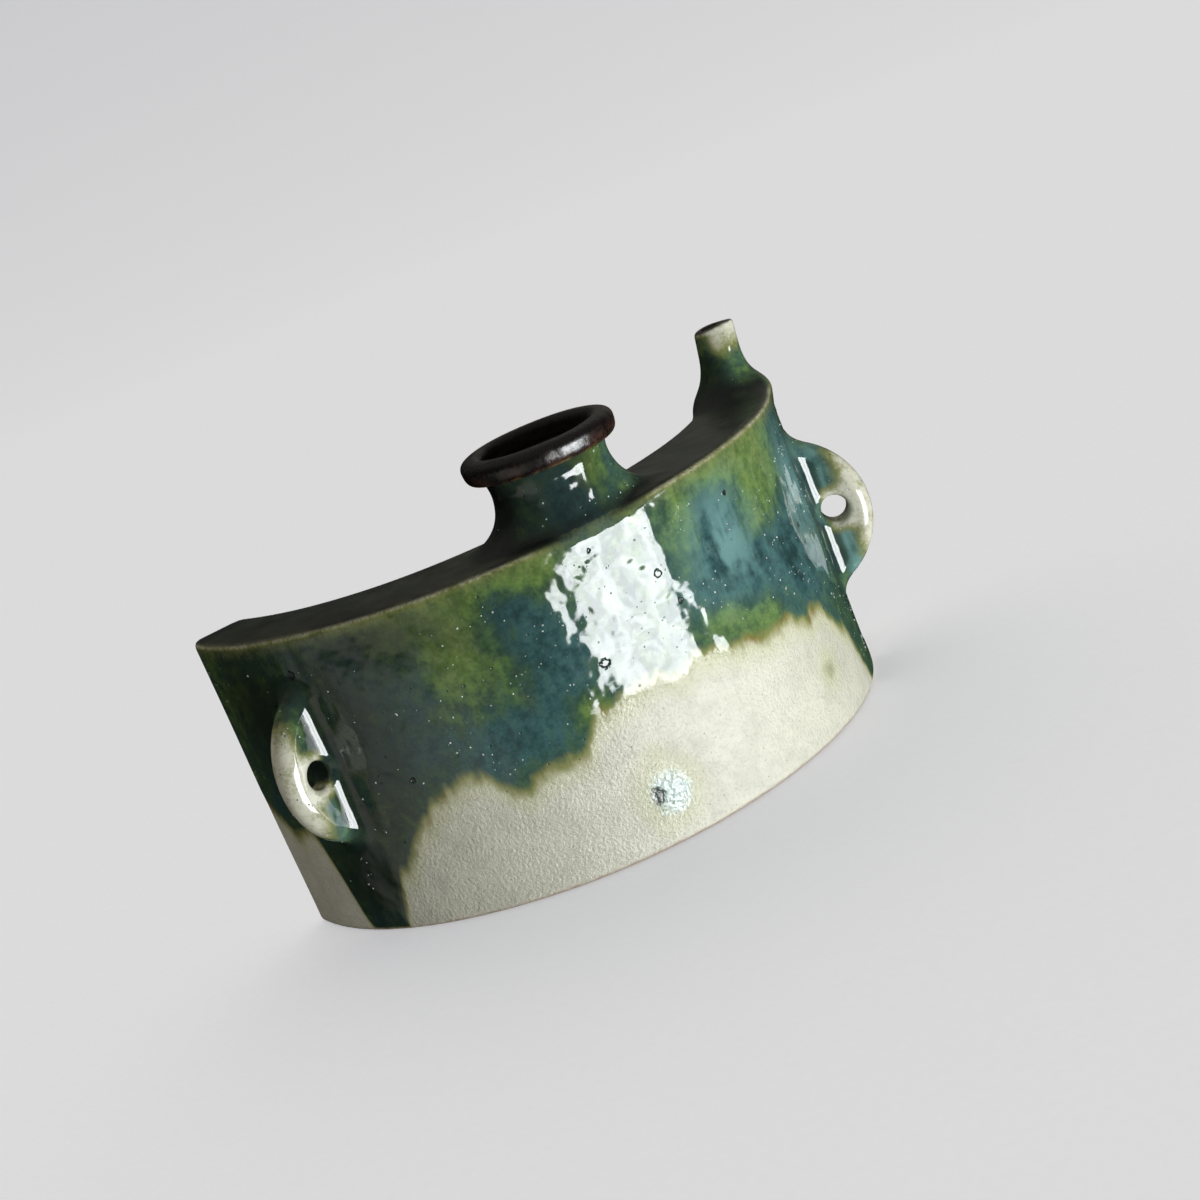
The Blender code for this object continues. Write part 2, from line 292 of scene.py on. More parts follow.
class FlaskClay(bpy.types.PropertyGroup):
    """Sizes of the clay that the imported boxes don't give."""

    depth: length("Depth", "Front to hip side at the middle", 30.5)
    front_radius: length("Front radius", "Radius of the convex front", 83.5)
    hip_radius: length("Hip radius", "Radius of the hollow hip side", 75)
    tip_round: length("Tip rounding", "Radius of the upright corners at the tips", 2.8)
    wall: length("Wall", "Thickness of the upright slabs", 5.5)
    top_edge: length("Top edge", "Rounding of the top edge", 1.4)
    shoulder: length("Shoulder", "Further rounding of the top edge in front of the neck", 1.6)
    foot_edge: length("Foot edge", "Rounding of the foot", 1.0)
    joint_angle: angle("Wall joint", "Where the slabs butt on the hip side", 63)
    neck_waist: length("Neck waist", "Radius of the neck at its narrowest", 14.6)
    neck_depth: length("Neck depth", "Radius of the neck at its narrowest, from front to back", 13.6)
    neck_back: length("Neck set back", "How far the waist and the foot are set back from the lip", 0.5)
    neck_foot: length("Neck foot", "How far the neck widens again down to its foot", 0.5)
    neck_waist_height: length("Neck waist height", "Height of the narrowest place", 91)
    neck_lip: length("Neck lip", "Radius of the neck under the rim", 15.6)
    neck_bore: length("Neck bore", "Radius inside the neck", 10.5)
    mouth: length("Mouth", "Radius of the mouth", 13)
    neck_blend: length("Neck blend", "How far the neck is worked into the top", 13)
    spout_x: length("Spout place", "Spout to the right of the middle", 70)
    spout_y: length("Spout back", "Spout behind the middle of the neck", 44.5)
    spout_lean: angle("Spout lean", "Lean towards the tip", 6.5)
    spout_middle: length("Spout middle", "Radius above the foot", 5.9)
    spout_tip: length("Spout tip", "Radius at the tip", 5.15)
    spout_bore: length("Spout bore", "Radius inside the spout", 3.5)
    spout_blend: length("Spout blend", "How far the spout is worked into the top", 12)
    lug_angle: angle("Lug angle", "Lugs in front of the width line", 30)
    lug_length: length("Lug length", "Height of a lug at the wall", 40.5)
    lug_lift: length("Lug lift", "Lug's middle above that of its solid", 1.5)
    lug_rise: length("Lug rise", "How far a lug stands out", 14.5)
    lug_thickness: length("Lug thickness", "Thickness of a lug", 7)
    lug_edge: length("Lug edge", "Rounding of a lug's edge", 3.3)
    lug_hole: length("Lug hole", "Radius of the cord hole", 3.5)
    lug_hole_out: length("Lug hole place", "Cord hole from the wall", 5.0)
    lug_hole_edge: length("Lug hole edge", "Rounding of the hole's edge", 1.6)
    lug_hole_skew: angle("Hole skew", "Turn of the hole to the front", 8)
    lug_blend: length("Lug blend", "How far a lug is worked into the wall", 4.5)
    grain: length("Grain", "Mesh size on the slabs", 0.8)
    fine_grain: length("Fine grain", "Mesh size on neck, spout and lugs", 0.5)


class FlaskRim(bpy.types.PropertyGroup):
    """The roll of clay round the mouth."""

    radius: length("Ring radius", "Radius to the middle of the roll", 16.2)
    width: length("Roll width", "Width of the roll", 5.8)
    height: length("Roll height", "Height of the roll", 5.7)
    squareness: amount("Squareness", "1 gives a round section, less a squarer one", 0.72, min=0.1, max=1)
    tilt: angle("Tilt", "Turn of the roll's outer face, down", 7)
    wobble: length("Wobble", "Unevenness of the roll", 0.5)
    seed: choice("Choice of the unevenness", 4)


class FlaskGlaze(bpy.types.PropertyGroup):
    """Colours of the glazes and the clay."""

    thickness: length("Glaze thickness", "How proud the green glaze stands of the clay", 0.15)
    teal: colour("Teal", "Thick glaze", (0.040, 0.096, 0.096))
    green: colour("Green", "Glaze between teal and grass", (0.046, 0.090, 0.052))
    grass: colour("Grass", "Glaze of middling thickness", (0.098, 0.165, 0.046))
    # Near-black glaze: in pits, bubbles and hollows, and painted shade on the top, the neck's left, the
    # spout's left and the left of the front
    deep_and_shade: colour("Deep", "Glaze pooled on level places", (0.010, 0.014, 0.012))
    olive: colour("Olive", "Glaze thinned on edges", (0.19, 0.20, 0.07))
    fringe: colour("Fringe", "Glaze thinned at its lower edge", (0.22, 0.225, 0.08))
    mist: colour("Mist", "Milky glaze", (0.14, 0.27, 0.26))
    # Pale aqua on the green spots: partly the spots' own pale glaze, partly a painted reflection of the
    # window
    frost_and_reflection: colour("Frost", "A thin spot of glaze on the cream", (0.44, 0.53, 0.50))
    amber: colour("Amber", "Iron gathered at the glaze line", (0.17, 0.11, 0.025))
    cream: colour("Cream", "Pale glaze below the line and on edges", (0.61, 0.60, 0.50))
    iron: colour("Iron", "Rim glaze", (0.006, 0.004, 0.0035))
    rust: colour("Rust", "Rim glaze where it thins", (0.042, 0.017, 0.011))
    stain: colour("Stain", "Cream just below the green", (0.46, 0.47, 0.24))
    fleck: colour("Fleck", "Iron flecks in the cream", (0.24, 0.19, 0.12))
    clay: colour("Clay", "Unglazed stoneware", (0.36, 0.29, 0.21))
    grit: colour("Grit", "Dark grit in the stoneware", (0.16, 0.12, 0.09))
    blister_deep: colour("Deep blister", "Blisters that show the glaze below", (0.08, 0.13, 0.11))
    # Pale blisters: partly a milky skin, partly painted glints
    blister_pale_and_glint: colour("Pale blister", "Blisters with a milky skin", (0.50, 0.56, 0.52))
    blister_density: amount("Blisters", "Glaze blisters for each square metre", 240000)
    blister_radius: length("Blister radius", "Radius of a middling blister", 0.16)
    seed: choice("Choice of the blisters' places", 7)


class FlaskStage(bpy.types.PropertyGroup):
    """Floor, lamps and camera."""

    floor: colour("Floor", "Pale floor", (0.60, 0.61, 0.64))
    window: amount("Window", "Power of the window lamp", 15.2, unit="POWER")
    side: amount("Side", "Power of the dim lamp on the right", 2.4, unit="POWER")
    haze: amount("Haze", "Strength of the dim light low on the left", 0.4)
    glow: amount("Glow", "Strength of the sheen on the top's right half", 0.12)
    back: amount("Back", "Strength of the soft light behind", 0.9)
    sky: amount("Sky", "Strength of the light overhead", 0.26)
    dusk: amount("Dusk", "Strength of the light near the horizon", 0.05)
    lens: amount("Lens", "Focal length on a 36 mm sensor", 69 * MM, unit="CAMERA")
    turn: angle("Turn", "Camera to the left of the front", 18.57)
    height: angle("Height", "Camera above the level", 14.464)
    roll: angle("Roll", "Camera rolled clockwise", 22.368)
    distance: length("Distance", "Camera to its target", 548.5)
    target: bpy.props.FloatVectorProperty(
        name="Target",
        description="What the camera looks at",
        default=(-0.3 * MM, 0, 58.6 * MM),
        subtype="TRANSLATION",
    )


def clay():
    return bpy.context.scene.flask_clay


def glaze():
    return bpy.context.scene.flask_glaze


def staging():
    return bpy.context.scene.flask_stage


# Signed distances

def smooth_step(value, low, high):
    """0 at low rising to 1 at high, or falling where high is the lower of the two."""
    share = np.clip((value - low) / (high - low), 0, 1)
    return share * share * (3 - 2 * share)


def smooth_min(a, b, reach):
    """Either of two bodies, with the corner between them filled within reach."""
    share = np.maximum(reach - np.abs(a - b), 0) / reach
    return np.minimum(a, b) - share * share * reach / 4


def round_max(a, b, radius):
    """What two bodies share, with the edge between them rounded."""
    corner = np.hypot(np.maximum(a + radius, 0), np.maximum(b + radius, 0))
    return np.minimum(np.maximum(a, b), -radius) + corner


def split(points):
    return points[..., 0], points[..., 1], points[..., 2]


def front_centre():
    return FRONT_Y + clay().front_radius


def hip_centre():
    return FRONT_Y + clay().depth + clay().hip_radius


def front_field(x, y):
    return np.hypot(x, y - front_centre()) - clay().front_radius


def hip_field(x, y):
    return clay().hip_radius - np.hypot(x, y - hip_centre())


def plan_field(x, y):
    return round_max(np.maximum(front_field(x, y), hip_field(x, y)), y - TIP_Y, clay().tip_round)


def before_neck(x, y):
    """1 in front of the neck, where the edge of the top is worked away, 0 elsewhere."""
    return np.exp(-((x / clay().neck_waist) ** 4)) * smooth_step(y, 0, -8 * MM)


def body_field(points):
    x, y, z = split(points)
    edge = clay().top_edge + clay().shoulder * before_neck(x, y)
    flat = round_max(plan_field(x, y), z - BODY_TOP, edge)
    return round_max(flat, -z, clay().foot_edge)


def neck_field(points):
    """The collar: straight up to the waist, then flaring a little to carry the rim."""
    x, y, z = split(points)
    c = clay()
    top = RIM_LOW + RIM_BED
    flare = np.clip((z - c.neck_waist_height) / (top - c.neck_waist_height), 0, 1) ** 2
    foot = np.clip((c.neck_waist_height - z) / (c.neck_waist_height - BODY_TOP), 0, 1) ** 2
    radius = c.neck_waist + (c.neck_lip - c.neck_waist) * flare + c.neck_foot * foot
    flatter = 1 + (c.neck_waist / c.neck_depth - 1) * (1 - flare)
    side = np.hypot(x, flatter * (y - c.neck_back * (1 - flare))) - radius
    return np.maximum(np.maximum(side, z - top), BODY_TOP - FITTING_ROOT - z)


def neck_reach(points):
    """How far the neck is worked in: in full on the top, hardly at all where it meets front and hip side."""
    x, y, _ = split(points)
    return clay().neck_blend * (NECK_LEAST + (1 - NECK_LEAST) * smooth_step(-plan_field(x, y), 0, NECK_SKIRT))


def neck_bore(points):
    x, y, z = split(points)
    c = clay()
    flare = smooth_step(z, c.neck_waist_height, RIM_LOW)
    side = np.hypot(x, y) - c.neck_bore - (c.mouth - c.neck_bore) * flare
    return np.maximum(side, TOP_SEAM - FITTING_ROOT * 2 - z)


def spout_axis(z):
    return clay().spout_x + (z - BODY_TOP) * math.tan(clay().spout_lean)


def spout_field(points):
    """A rolled tube that leans out, with an uneven tip."""
    x, y, z = split(points)
    c = clay()
    from_axis = x - spout_axis(z)
    back = y - c.spout_y
    share = np.clip((z - BODY_TOP) / (SPOUT_TIP - BODY_TOP), 0, 1)
    side = np.hypot(from_axis, back) - (c.spout_middle + (c.spout_tip - c.spout_middle) * share)
    dip = TIP_DIP * (1 - np.cos(from_axis / c.spout_tip * TIP_DIP_TURN))
    tip = z - SPOUT_TIP + TIP_CUT + TIP_SLOPE * back + dip
    return np.maximum(round_max(side, tip, TIP_EDGE), BODY_TOP - FITTING_ROOT - z)


def spout_reach(points):
    """How far the spout is worked in: in full on the top, fading out just below its edge."""
    _, _, z = split(points)
    on_top = smooth_step(z, BODY_TOP - SPOUT_SKIRT, BODY_TOP)
    return clay().spout_blend * (SPOUT_LEAST + (1 - SPOUT_LEAST) * on_top)


def spout_bore(points):
    x, y, z = split(points)
    c = clay()
    side = np.hypot(x - spout_axis(z), y - c.spout_y) - c.spout_bore
    return np.maximum(side, TOP_SEAM - FITTING_ROOT * 2 - z)


def lug_place(side):
    """Where a lug meets the wall, and the level direction in which it stands out."""
    turn = clay().lug_angle
    out = np.array((side * math.cos(turn), -math.sin(turn)))
    return np.array((0, front_centre())) + clay().front_radius * out, out


def lug_field(points, side):
    """A pierced ear: a disc that stands out of the wall, with a hole along the wall."""
    x, y, z = split(points)
    c = clay()
    (wall_x, wall_y), (out_x, out_y) = lug_place(side)
    out = (x - wall_x) * out_x + (y - wall_y) * out_y
    across = (y - wall_y) * out_x - (x - wall_x) * out_y
    up = z - LUG_MIDDLE - c.lug_lift
    radius = ((c.lug_length / 2) ** 2 + c.lug_rise**2) / (2 * c.lug_rise)
    disc = np.hypot(out - c.lug_rise + radius, up) - radius
    ear = round_max(disc, np.abs(across) - c.lug_thickness / 2, c.lug_edge)
    ear = np.maximum(ear, -out - 2 * FITTING_ROOT)
    skew = side * c.lug_hole_skew
    hole_out = (out - c.lug_hole_out) * math.cos(skew) + across * math.sin(skew)
    return ear, np.maximum(np.hypot(hole_out, up) - c.lug_hole, np.abs(across) - c.lug_thickness)


# Hand-made unevenness, and the glaze

def clay_waves():
    rng = np.random.default_rng(WAVE_SEED)
    waves = []
    for wave_length in WAVE_LENGTHS:
        heading, push = rng.normal(size=(2, 3))
        heading *= 2 * math.pi / wave_length / np.linalg.norm(heading)
        push *= WAVE_PUSH / np.linalg.norm(push)
        waves.append((heading, push, rng.uniform(0, 2 * math.pi)))
    return waves


WAVES = clay_waves()


def hand_shaped(points):
    """Points moved by the slow waves of the clay. The foot stays level."""
    moved = points.copy()
    lift = np.clip(points[..., 2] / BODY_TOP, 0, 1)
    for heading, push, phase in WAVES:
        wave = np.sin(points @ heading + phase)
        moved[..., 0] += push[0] * wave
        moved[..., 1] += push[1] * wave
        moved[..., 2] += push[2] * wave * lift
    return moved


def girth(x, y):
    """The way round the body in mm: 0 at the middle of the front, on round the tips to the hip side."""
    c = clay()
    tip_angle = math.acos((front_centre() - TIP_Y) / c.front_radius)
    hip_tip_angle = math.acos((hip_centre() - TIP_Y) / c.hip_radius)
    front_way = c.front_radius * np.arctan2(x, front_centre() - y)
    tip_width = c.front_radius * math.sin(tip_angle) - c.hip_radius * math.sin(hip_tip_angle)
    hip_angle = np.abs(np.arctan2(x, hip_centre() - y))
    hip_way = c.front_radius * tip_angle + tip_width + c.hip_radius * (hip_tip_angle - hip_angle)
    inside_front = np.maximum(-front_field(x, y), 0)
    inside_hip = np.maximum(-hip_field(x, y), 0)
    share = smooth_step(inside_front / (inside_front + inside_hip + 1e-9), 0, 1)
    return ((1 - share) * front_way + share * np.sign(x) * hip_way) / MM


def glaze_line(way):
    """Height in mm of the green glaze's lower edge."""
    line = LINE_LEVEL + LINE_RISE * np.exp(-((way / LINE_RISE_HALF_WIDTH) ** 2))
    for middle, half_width, fall in LINE_DRIPS:
        line = line - fall * np.exp(-np.abs((way - middle) / half_width) ** 3)
    for i, (wave_length, reach) in enumerate(LINE_FINGERS):
        line = line + reach * np.sin(2 * math.pi * way / wave_length + i)
    return line


def cover(points):
    """Height in mm above the glaze line, less than zero on the cream below it."""
    x, y, z = split(points)
    way = girth(x, y)
    above = z / MM - glaze_line(way)
    for middle, height, radius in ISLANDS:
        above = np.maximum(above, radius - np.hypot(way - middle, z / MM - height))
    return above


def glaze_lift(points):
    """How proud the green glaze stands: not at its lower edge, nor at the foot."""
    clear_of_foot = smooth_step(points[..., 2], 0.5 * MM, 3 * MM)
    return glaze().thickness * smooth_step(cover(points), -1, 6) * clear_of_foot


def clay_skin(points):
    """The body's outside with its glaze, before any fitting is put on."""
    moved = hand_shaped(points)
    return body_field(moved) - glaze_lift(moved)


def wall_joint(x, y):
    """How far past the butt joint on the hip side a place is, towards the tips."""
    turn = np.abs(np.arctan2(x, hip_centre() - y))
    return (turn - clay().joint_angle) * clay().hip_radius


def dive(past):
    """How far a piece that lies on top at a seam sinks past it: not at first, then under its neighbour."""
    return SEAM_DIVE * smooth_step(past, SEAM_LAP / 2, SEAM_LAP)


def dive_under(past):
    """How far a piece that lies below at a seam sinks: a hair over the lap, then deeper."""
    under = SEAM_HAIR * smooth_step(past, -SEAM_LAP, -SEAM_LAP / 2)
    return under + SEAM_DIVE * smooth_step(past, 0, SEAM_LAP / 2)


def upright_shell(points):
    """The upright slabs between the seams of base and top."""
    x, y, z = split(points)
    skin = clay_skin(points) + dive(z - TOP_SEAM) + dive(BASE_SEAM - z)
    ends = np.maximum(z - TOP_SEAM - SEAM_LAP, BASE_SEAM - SEAM_LAP - z)
    return np.maximum(np.maximum(skin, ends), -plan_field(x, y) - clay().wall)


def front_wall_field(points):
    x, y, _ = split(points)
    past = -wall_joint(x, y)
    hip_slab = np.maximum(SEAM_LAP - past, front_field(x, y) + clay().wall)
    return np.maximum(upright_shell(points) + dive(past), -hip_slab)


def back_wall_field(points):
    x, y, _ = split(points)
    past = wall_joint(x, y)
    hip_slab = np.maximum(past - SEAM_LAP, front_field(x, y) + clay().wall)
    return np.maximum(upright_shell(points) + dive_under(past), hip_slab)


def top_slab_field(points):
    z = points[..., 2]
    slab = np.maximum(clay_skin(points) + dive_under(TOP_SEAM - z), TOP_SEAM - SEAM_LAP - z)
    moved = hand_shaped(points)
    return np.maximum(slab, np.maximum(-neck_bore(moved), -spout_bore(moved)))


def base_slab_field(points):
    z = points[..., 2]
    return np.maximum(clay_skin(points) + dive_under(z - BASE_SEAM), z - BASE_SEAM - SEAM_LAP)


def worked_in(points, fitting, reach):
    """A fitting with its clay worked into the body. It thins out to nothing just under the body's skin."""
    moved = hand_shaped(points)
    lift = glaze_lift(moved)
    body = body_field(moved)
    joined = smooth_min(body, fitting(moved), reach(moved))
    sunk = SEAM_DIVE * (1 - smooth_step(body - joined, 0, BLEND_EDGE))
    return np.maximum(joined - lift + sunk, -body - FITTING_ROOT)


def neck_piece_field(points):
    joined = worked_in(points, neck_field, neck_reach)
    return np.maximum(joined, -neck_bore(hand_shaped(points)))


def spout_piece_field(points):
    joined = worked_in(points, spout_field, spout_reach)
    return np.maximum(joined, -spout_bore(hand_shaped(points)))


def lug_piece_field(side):
    def field(points):
        joined = worked_in(points, lambda moved: lug_field(moved, side)[0], lambda moved: clay().lug_blend)
        hole = lug_field(hand_shaped(points), side)[1]
        return round_max(joined, -hole, clay().lug_hole_edge)

    return field


def whole_field(points):
    """The whole outside, for reading how the surface bends."""
    moved = hand_shaped(points)
    c = clay()
    whole = smooth_min(body_field(moved), neck_field(moved), neck_reach(moved))
    whole = smooth_min(whole, spout_field(moved), spout_reach(moved))
    for side in (-1, 1):
        ear, hole = lug_field(moved, side)
        whole = round_max(smooth_min(whole, ear, c.lug_blend), -hole, c.lug_hole_edge)
    return whole


# Meshes from fields

CELL_CORNERS = np.array([(i, j, k) for i in (0, 1) for j in (0, 1) for k in (0, 1)])


def crossed_cells(inside):
    """Cells of the grid that the surface crosses, with some corners inside and some outside."""
    shape = np.array(inside.shape) - 1
    count = np.zeros(shape, np.int8)
    for i, j, k in CELL_CORNERS:
        count += inside[i : i + shape[0], j : j + shape[1], k : k + shape[2]]
    return np.argwhere((count > 0) & (count < 8))


def cell_places(values, cells):
    """The middle of the places where the surface cuts each cell's edges, counted in cells."""
    corner_values = np.stack([values[tuple((cells + corner).T)] for corner in CELL_CORNERS], axis=1)
    total = np.zeros((len(cells), 3))
    hits = np.zeros(len(cells))
    for a, b in combinations(range(8), 2):
        edge = CELL_CORNERS[b] - CELL_CORNERS[a]
        if np.abs(edge).sum() != 1:
            continue
        va, vb = corner_values[:, a], corner_values[:, b]
        crossed = (va < 0) != (vb < 0)
        share = np.where(crossed, va / np.where(crossed, va - vb, 1), 0)
        total += crossed[:, None] * (CELL_CORNERS[a] + share[:, None] * edge)
        hits += crossed
    return cells + total / hits[:, None]


def net_quads(inside, index):
    """A quad, facing out, round each edge of the grid that the surface crosses."""
    quads = []
    for axis in range(3):
        u, v = np.eye(3, dtype=int)[[(axis + 1) % 3, (axis + 2) % 3]]
        ahead = np.take(inside, range(1, inside.shape[axis]), axis)
        behind = np.take(inside, range(inside.shape[axis] - 1), axis)
        edges = np.argwhere(ahead != behind)
        edges = edges[((edges @ u) > 0) & ((edges @ v) > 0)]
        ring = [index[tuple((edges - shift).T)] for shift in (u + v, v, 0 * u, u)]
        quad = np.stack(ring, axis=1)
        outward = behind[tuple(edges.T)]
        quads.append(np.where(outward[:, None], quad, quad[:, ::-1]))
    return np.concatenate(quads)


def surface_net(values, low, step):
    """Corners and quads of the surface where sampled values change sign, a corner in each cell it crosses."""
    inside = values < 0
    cells = crossed_cells(inside)
    index = np.full(np.array(values.shape) - 1, -1)
    index[tuple(cells.T)] = np.arange(len(cells))
    return low + step * cell_places(values, cells), net_quads(inside, index)


def gradient(field, points, reach=0.05 * MM):
    slopes = []
    for axis in np.eye(3) * reach:
        slopes.append((field(points + axis) - field(points - axis)) / (2 * reach))
    return np.stack(slopes, axis=-1)


def settle(field, corners, step, turns=3):
    """Corners drawn onto the surface itself, none by more than half a cell at a time."""
    for _ in range(turns):
        slope = gradient(field, corners)
        pull = -field(corners) / np.maximum((slope**2).sum(axis=1), 0.2)
        move = pull[:, None] * slope
        size = np.linalg.norm(move, axis=1)
        corners = corners + move * np.minimum(1, 0.5 * step / np.maximum(size, 1e-12))[:, None]
    return corners


def bend(points, reach=1.1 * MM):
    """How sharply the outside bends at each point, for each mm: more than zero on edges, less in hollows."""
    around = -6 * whole_field(points)
    for axis in np.eye(3) * reach:
        around += whole_field(points + axis) + whole_field(points - axis)
    return around / reach**2 * MM


def patchwork(patches, way, height):
    """Soft patches laid over each other, kept between -1 and 1."""
    total = np.zeros_like(way)
    for middle, up, half_way, half_height, strength in patches:
        far = ((way - middle) / half_way) ** 2 + ((height - up) / half_height) ** 2
        total += strength * np.exp(-far)
    return np.clip(total, -1, 1)


def spout_marks(x, y, z):
    """Painted shade on the spout's left, shaded side; and how thin the glaze is towards the tip, mostly on
    the lit right side, which is partly painted light.
    """
    near = np.hypot(x - clay().spout_x, y - clay().spout_y) < 15 * MM
    # Painted shade on the spout's left side, below its tip
    deep_and_shade = smooth_step(spout_axis(z) - x, 0, 4 * MM) * smooth_step(z, SPOUT_TIP - 2 * MM, SPOUT_TIP - 9 * MM)
    # Thin pale glaze kept mostly to the lit right side: partly the glaze's own, partly painted light
    lit_side = 0.25 + 0.7 * smooth_step(x - spout_axis(z), -5 * MM, -2.5 * MM)
    thin = lit_side * smooth_step(z, BODY_TOP + 8 * MM, SPOUT_TIP - 2 * MM)
    return np.where(near & (z > BODY_TOP), 0.8 * deep_and_shade, 0), np.where(near, thin, 0)


def neck_painted_shade(x, y, z):
    """Painted shade on the neck: dark on its left, fading out towards its right."""
    on_neck = smooth_step(np.hypot(x, y), 26 * MM, 20 * MM)
    on_neck = on_neck * smooth_step(z, BODY_TOP - 1 * MM, BODY_TOP + 1 * MM)
    return 0.8 * on_neck * smooth_step(x, 14 * MM, 0)


def lug_thin(corners, stands_out):
    """How thin the glaze is on the lugs' outer edges and round their holes."""
    thin = smooth_step(stands_out, 5 * MM, 13 * MM)
    for side in (-1, 1):
        ring = smooth_step(lug_field(corners, side)[1], 4.6 * MM, 0.5 * MM)
        thin = thin + 0.8 * ring * smooth_step(stands_out, 1.5 * MM, 4.5 * MM)
    return thin


def island_marks(way, height):
    """1 on a large spot of green on the cream, less on small ones, 0 away from them."""
    marks = np.zeros_like(height)
    for middle, up, radius in ISLANDS:
        far = np.hypot(way - middle, height - up)
        marks = np.maximum(marks, min(1, radius / 5) * smooth_step(far, radius + 2, radius))
    return marks


def glaze_marks(mesh, corners):
    """What the glaze reads at each corner, such as the height above its line, tone, mist and thin edges, and
    where shade is painted.
    """
    x, y, z = split(corners)
    way, height = girth(x, y), z / MM
    edge = bend(corners)
    normal = gradient(whole_field, corners, 0.4 * MM)
    level = normal[:, 2] / np.maximum(np.linalg.norm(normal, axis=1), 1e-9)
    stands_out = front_field(x, y)
    on_lug = smooth_step(stands_out, 2 * MM, 6 * MM) * (0.6 + 0.6 * smooth_step(z, 46 * MM, 35 * MM))
    spout_painted_shade, spout_thin_and_painted_light = spout_marks(x, y, z)
    edge_thin = 0.42 * smooth_step(edge, 0.2, 0.6) * (1 - before_neck(x, y))
    brow_thin = 0.28 * smooth_step(z, BODY_TOP - 7 * MM, BODY_TOP - 1 * MM) * (z < BODY_TOP + 0.3 * MM)
    marks = {
        "cover": cover(corners),
        "tone": patchwork(PATCHES, way, height),
        # The mist mark: milky glaze above zero; below zero painted shade, on the left of the front, the
        # neck's left and the spout's left
        "mist": patchwork(MIST_AND_SHADE, way, height) + on_lug - neck_painted_shade(x, y, z) - spout_painted_shade,
        "thin": np.clip(edge_thin + spout_thin_and_painted_light + lug_thin(corners, stands_out) + brow_thin, 0, 1),
        "hollow": smooth_step(-edge, 0.03, 0.2),
        # Painted shade: the top's level places are darkened as if in shade
        "pool": smooth_step(level, 0.35, 0.9) * smooth_step(z, BODY_TOP - 4 * MM, BODY_TOP),
        "island": island_marks(way, height),
        "outside": smooth_step(-whole_field(corners), 1.2 * MM, 0.6 * MM),
    }
    for name, values in marks.items():
        mesh.attributes.new(name, "FLOAT", "POINT").data.foreach_set("value", values.astype(np.float32))


def mesh_object(name, corners, faces, material):
    mesh = bpy.data.meshes.new(name)
    mesh.from_pydata(corners.tolist(), [], faces.tolist())
    mesh.update()
    mesh.shade_smooth()
    mesh.materials.append(material)
    piece = bpy.data.objects.new(name, mesh)
    bpy.context.scene.collection.objects.link(piece)
    return piece


def whole_skin(points):
    return whole_field(points) - glaze_lift(hand_shaped(points))


def shade_as_one(mesh, corners):
    """Shading normals taken from the whole outside, so that no seam shows in a reflection."""
    normals = gradient(whole_skin, corners, 0.3 * MM)
    normals /= np.maximum(np.linalg.norm(normals, axis=1), 1e-9)[:, None]
    normals[np.abs(whole_skin(corners)) > SEAM_DIVE * 1.5] = 0
    mesh.normals_split_custom_set_from_vertices(normals.tolist())


def node_box(node, margin):
    low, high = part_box(node)
    return np.array(low) - margin, np.array(high) + margin


def clay_piece(node, field, margin, step):
    """The visible piece for a node, meshed from its field inside the node's box and a margin."""
    low, high = node_box(node, margin)
    counts = np.ceil((high - low) / step).astype(int) + 1
    axes = [low[i] + step * np.arange(counts[i]) for i in range(3)]
    grid = np.stack(np.meshgrid(*axes, indexing="ij"), axis=-1)

    def closed(points):
        from_middle = np.abs(points - (low + high) / 2) - (high - low) / 2 + 1.5 * step
        return np.maximum(field(points), from_middle.max(axis=-1))

    corners, quads = surface_net(closed(grid), low, step)
    corners = settle(closed, corners, step)
    piece = mesh_object("glazed_" + node, corners, quads, running_glaze())
    piece.data.set_sharp_from_angle(angle=SHARP_ANGLE)
    shade_as_one(piece.data, corners)
    glaze_marks(piece.data, corners)
    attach(piece, BODY)
    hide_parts(node)
    return piece


# Node trees

def put(tree, kind, inputs=None, **settings):
    """A node with its settings, and its inputs set to a value or linked from an output."""
    node = tree.nodes.new(kind)
    for key, value in settings.items():
        setattr(node, key, value)
    for key, value in (inputs or {}).items():
        if isinstance(value, bpy.types.NodeSocket):
            tree.links.new(value, node.inputs[key])
        else:
            node.inputs[key].default_value = value
    return node


def rgba(rgb):
    return (*rgb, 1)


def dimmed(rgb, share):
    return tuple(share * v for v in rgb)


def noise(tree, vector, scale, detail=4, roughness=0.55):
    inputs = {"Vector": vector, "Scale": scale, "Detail": detail, "Roughness": roughness}
    return put(tree, "ShaderNodeTexNoise", inputs).outputs[0]


def cell_pattern(tree, place, scale):
    return put(tree, "ShaderNodeTexVoronoi", {"Vector": place, "Scale": scale}).outputs


def calc(tree, operation, a, b=0.0, clamp=False):
    return put(tree, "ShaderNodeMath", {0: a, 1: b}, operation=operation, use_clamp=clamp).outputs[0]


def plus(tree, a, b):
    return calc(tree, "ADD", a, b)


def minus(tree, a, b, clamp=False):
    return calc(tree, "SUBTRACT", a, b, clamp)


def times(tree, a, b, clamp=False):
    return calc(tree, "MULTIPLY", a, b, clamp)


def larger(tree, a, b):
    return calc(tree, "MAXIMUM", a, b)


def vectors(tree, operation, a, b, output="Vector"):
    return put(tree, "ShaderNodeVectorMath", {0: a, 1: b}, operation=operation).outputs[output]


def scaled(tree, vector, scale):
    return put(tree, "ShaderNodeVectorMath", {0: vector, "Scale": scale}, operation="SCALE").outputs["Vector"]


def upward(tree, vector):
    return put(tree, "ShaderNodeSeparateXYZ", {0: vector}).outputs["Z"]


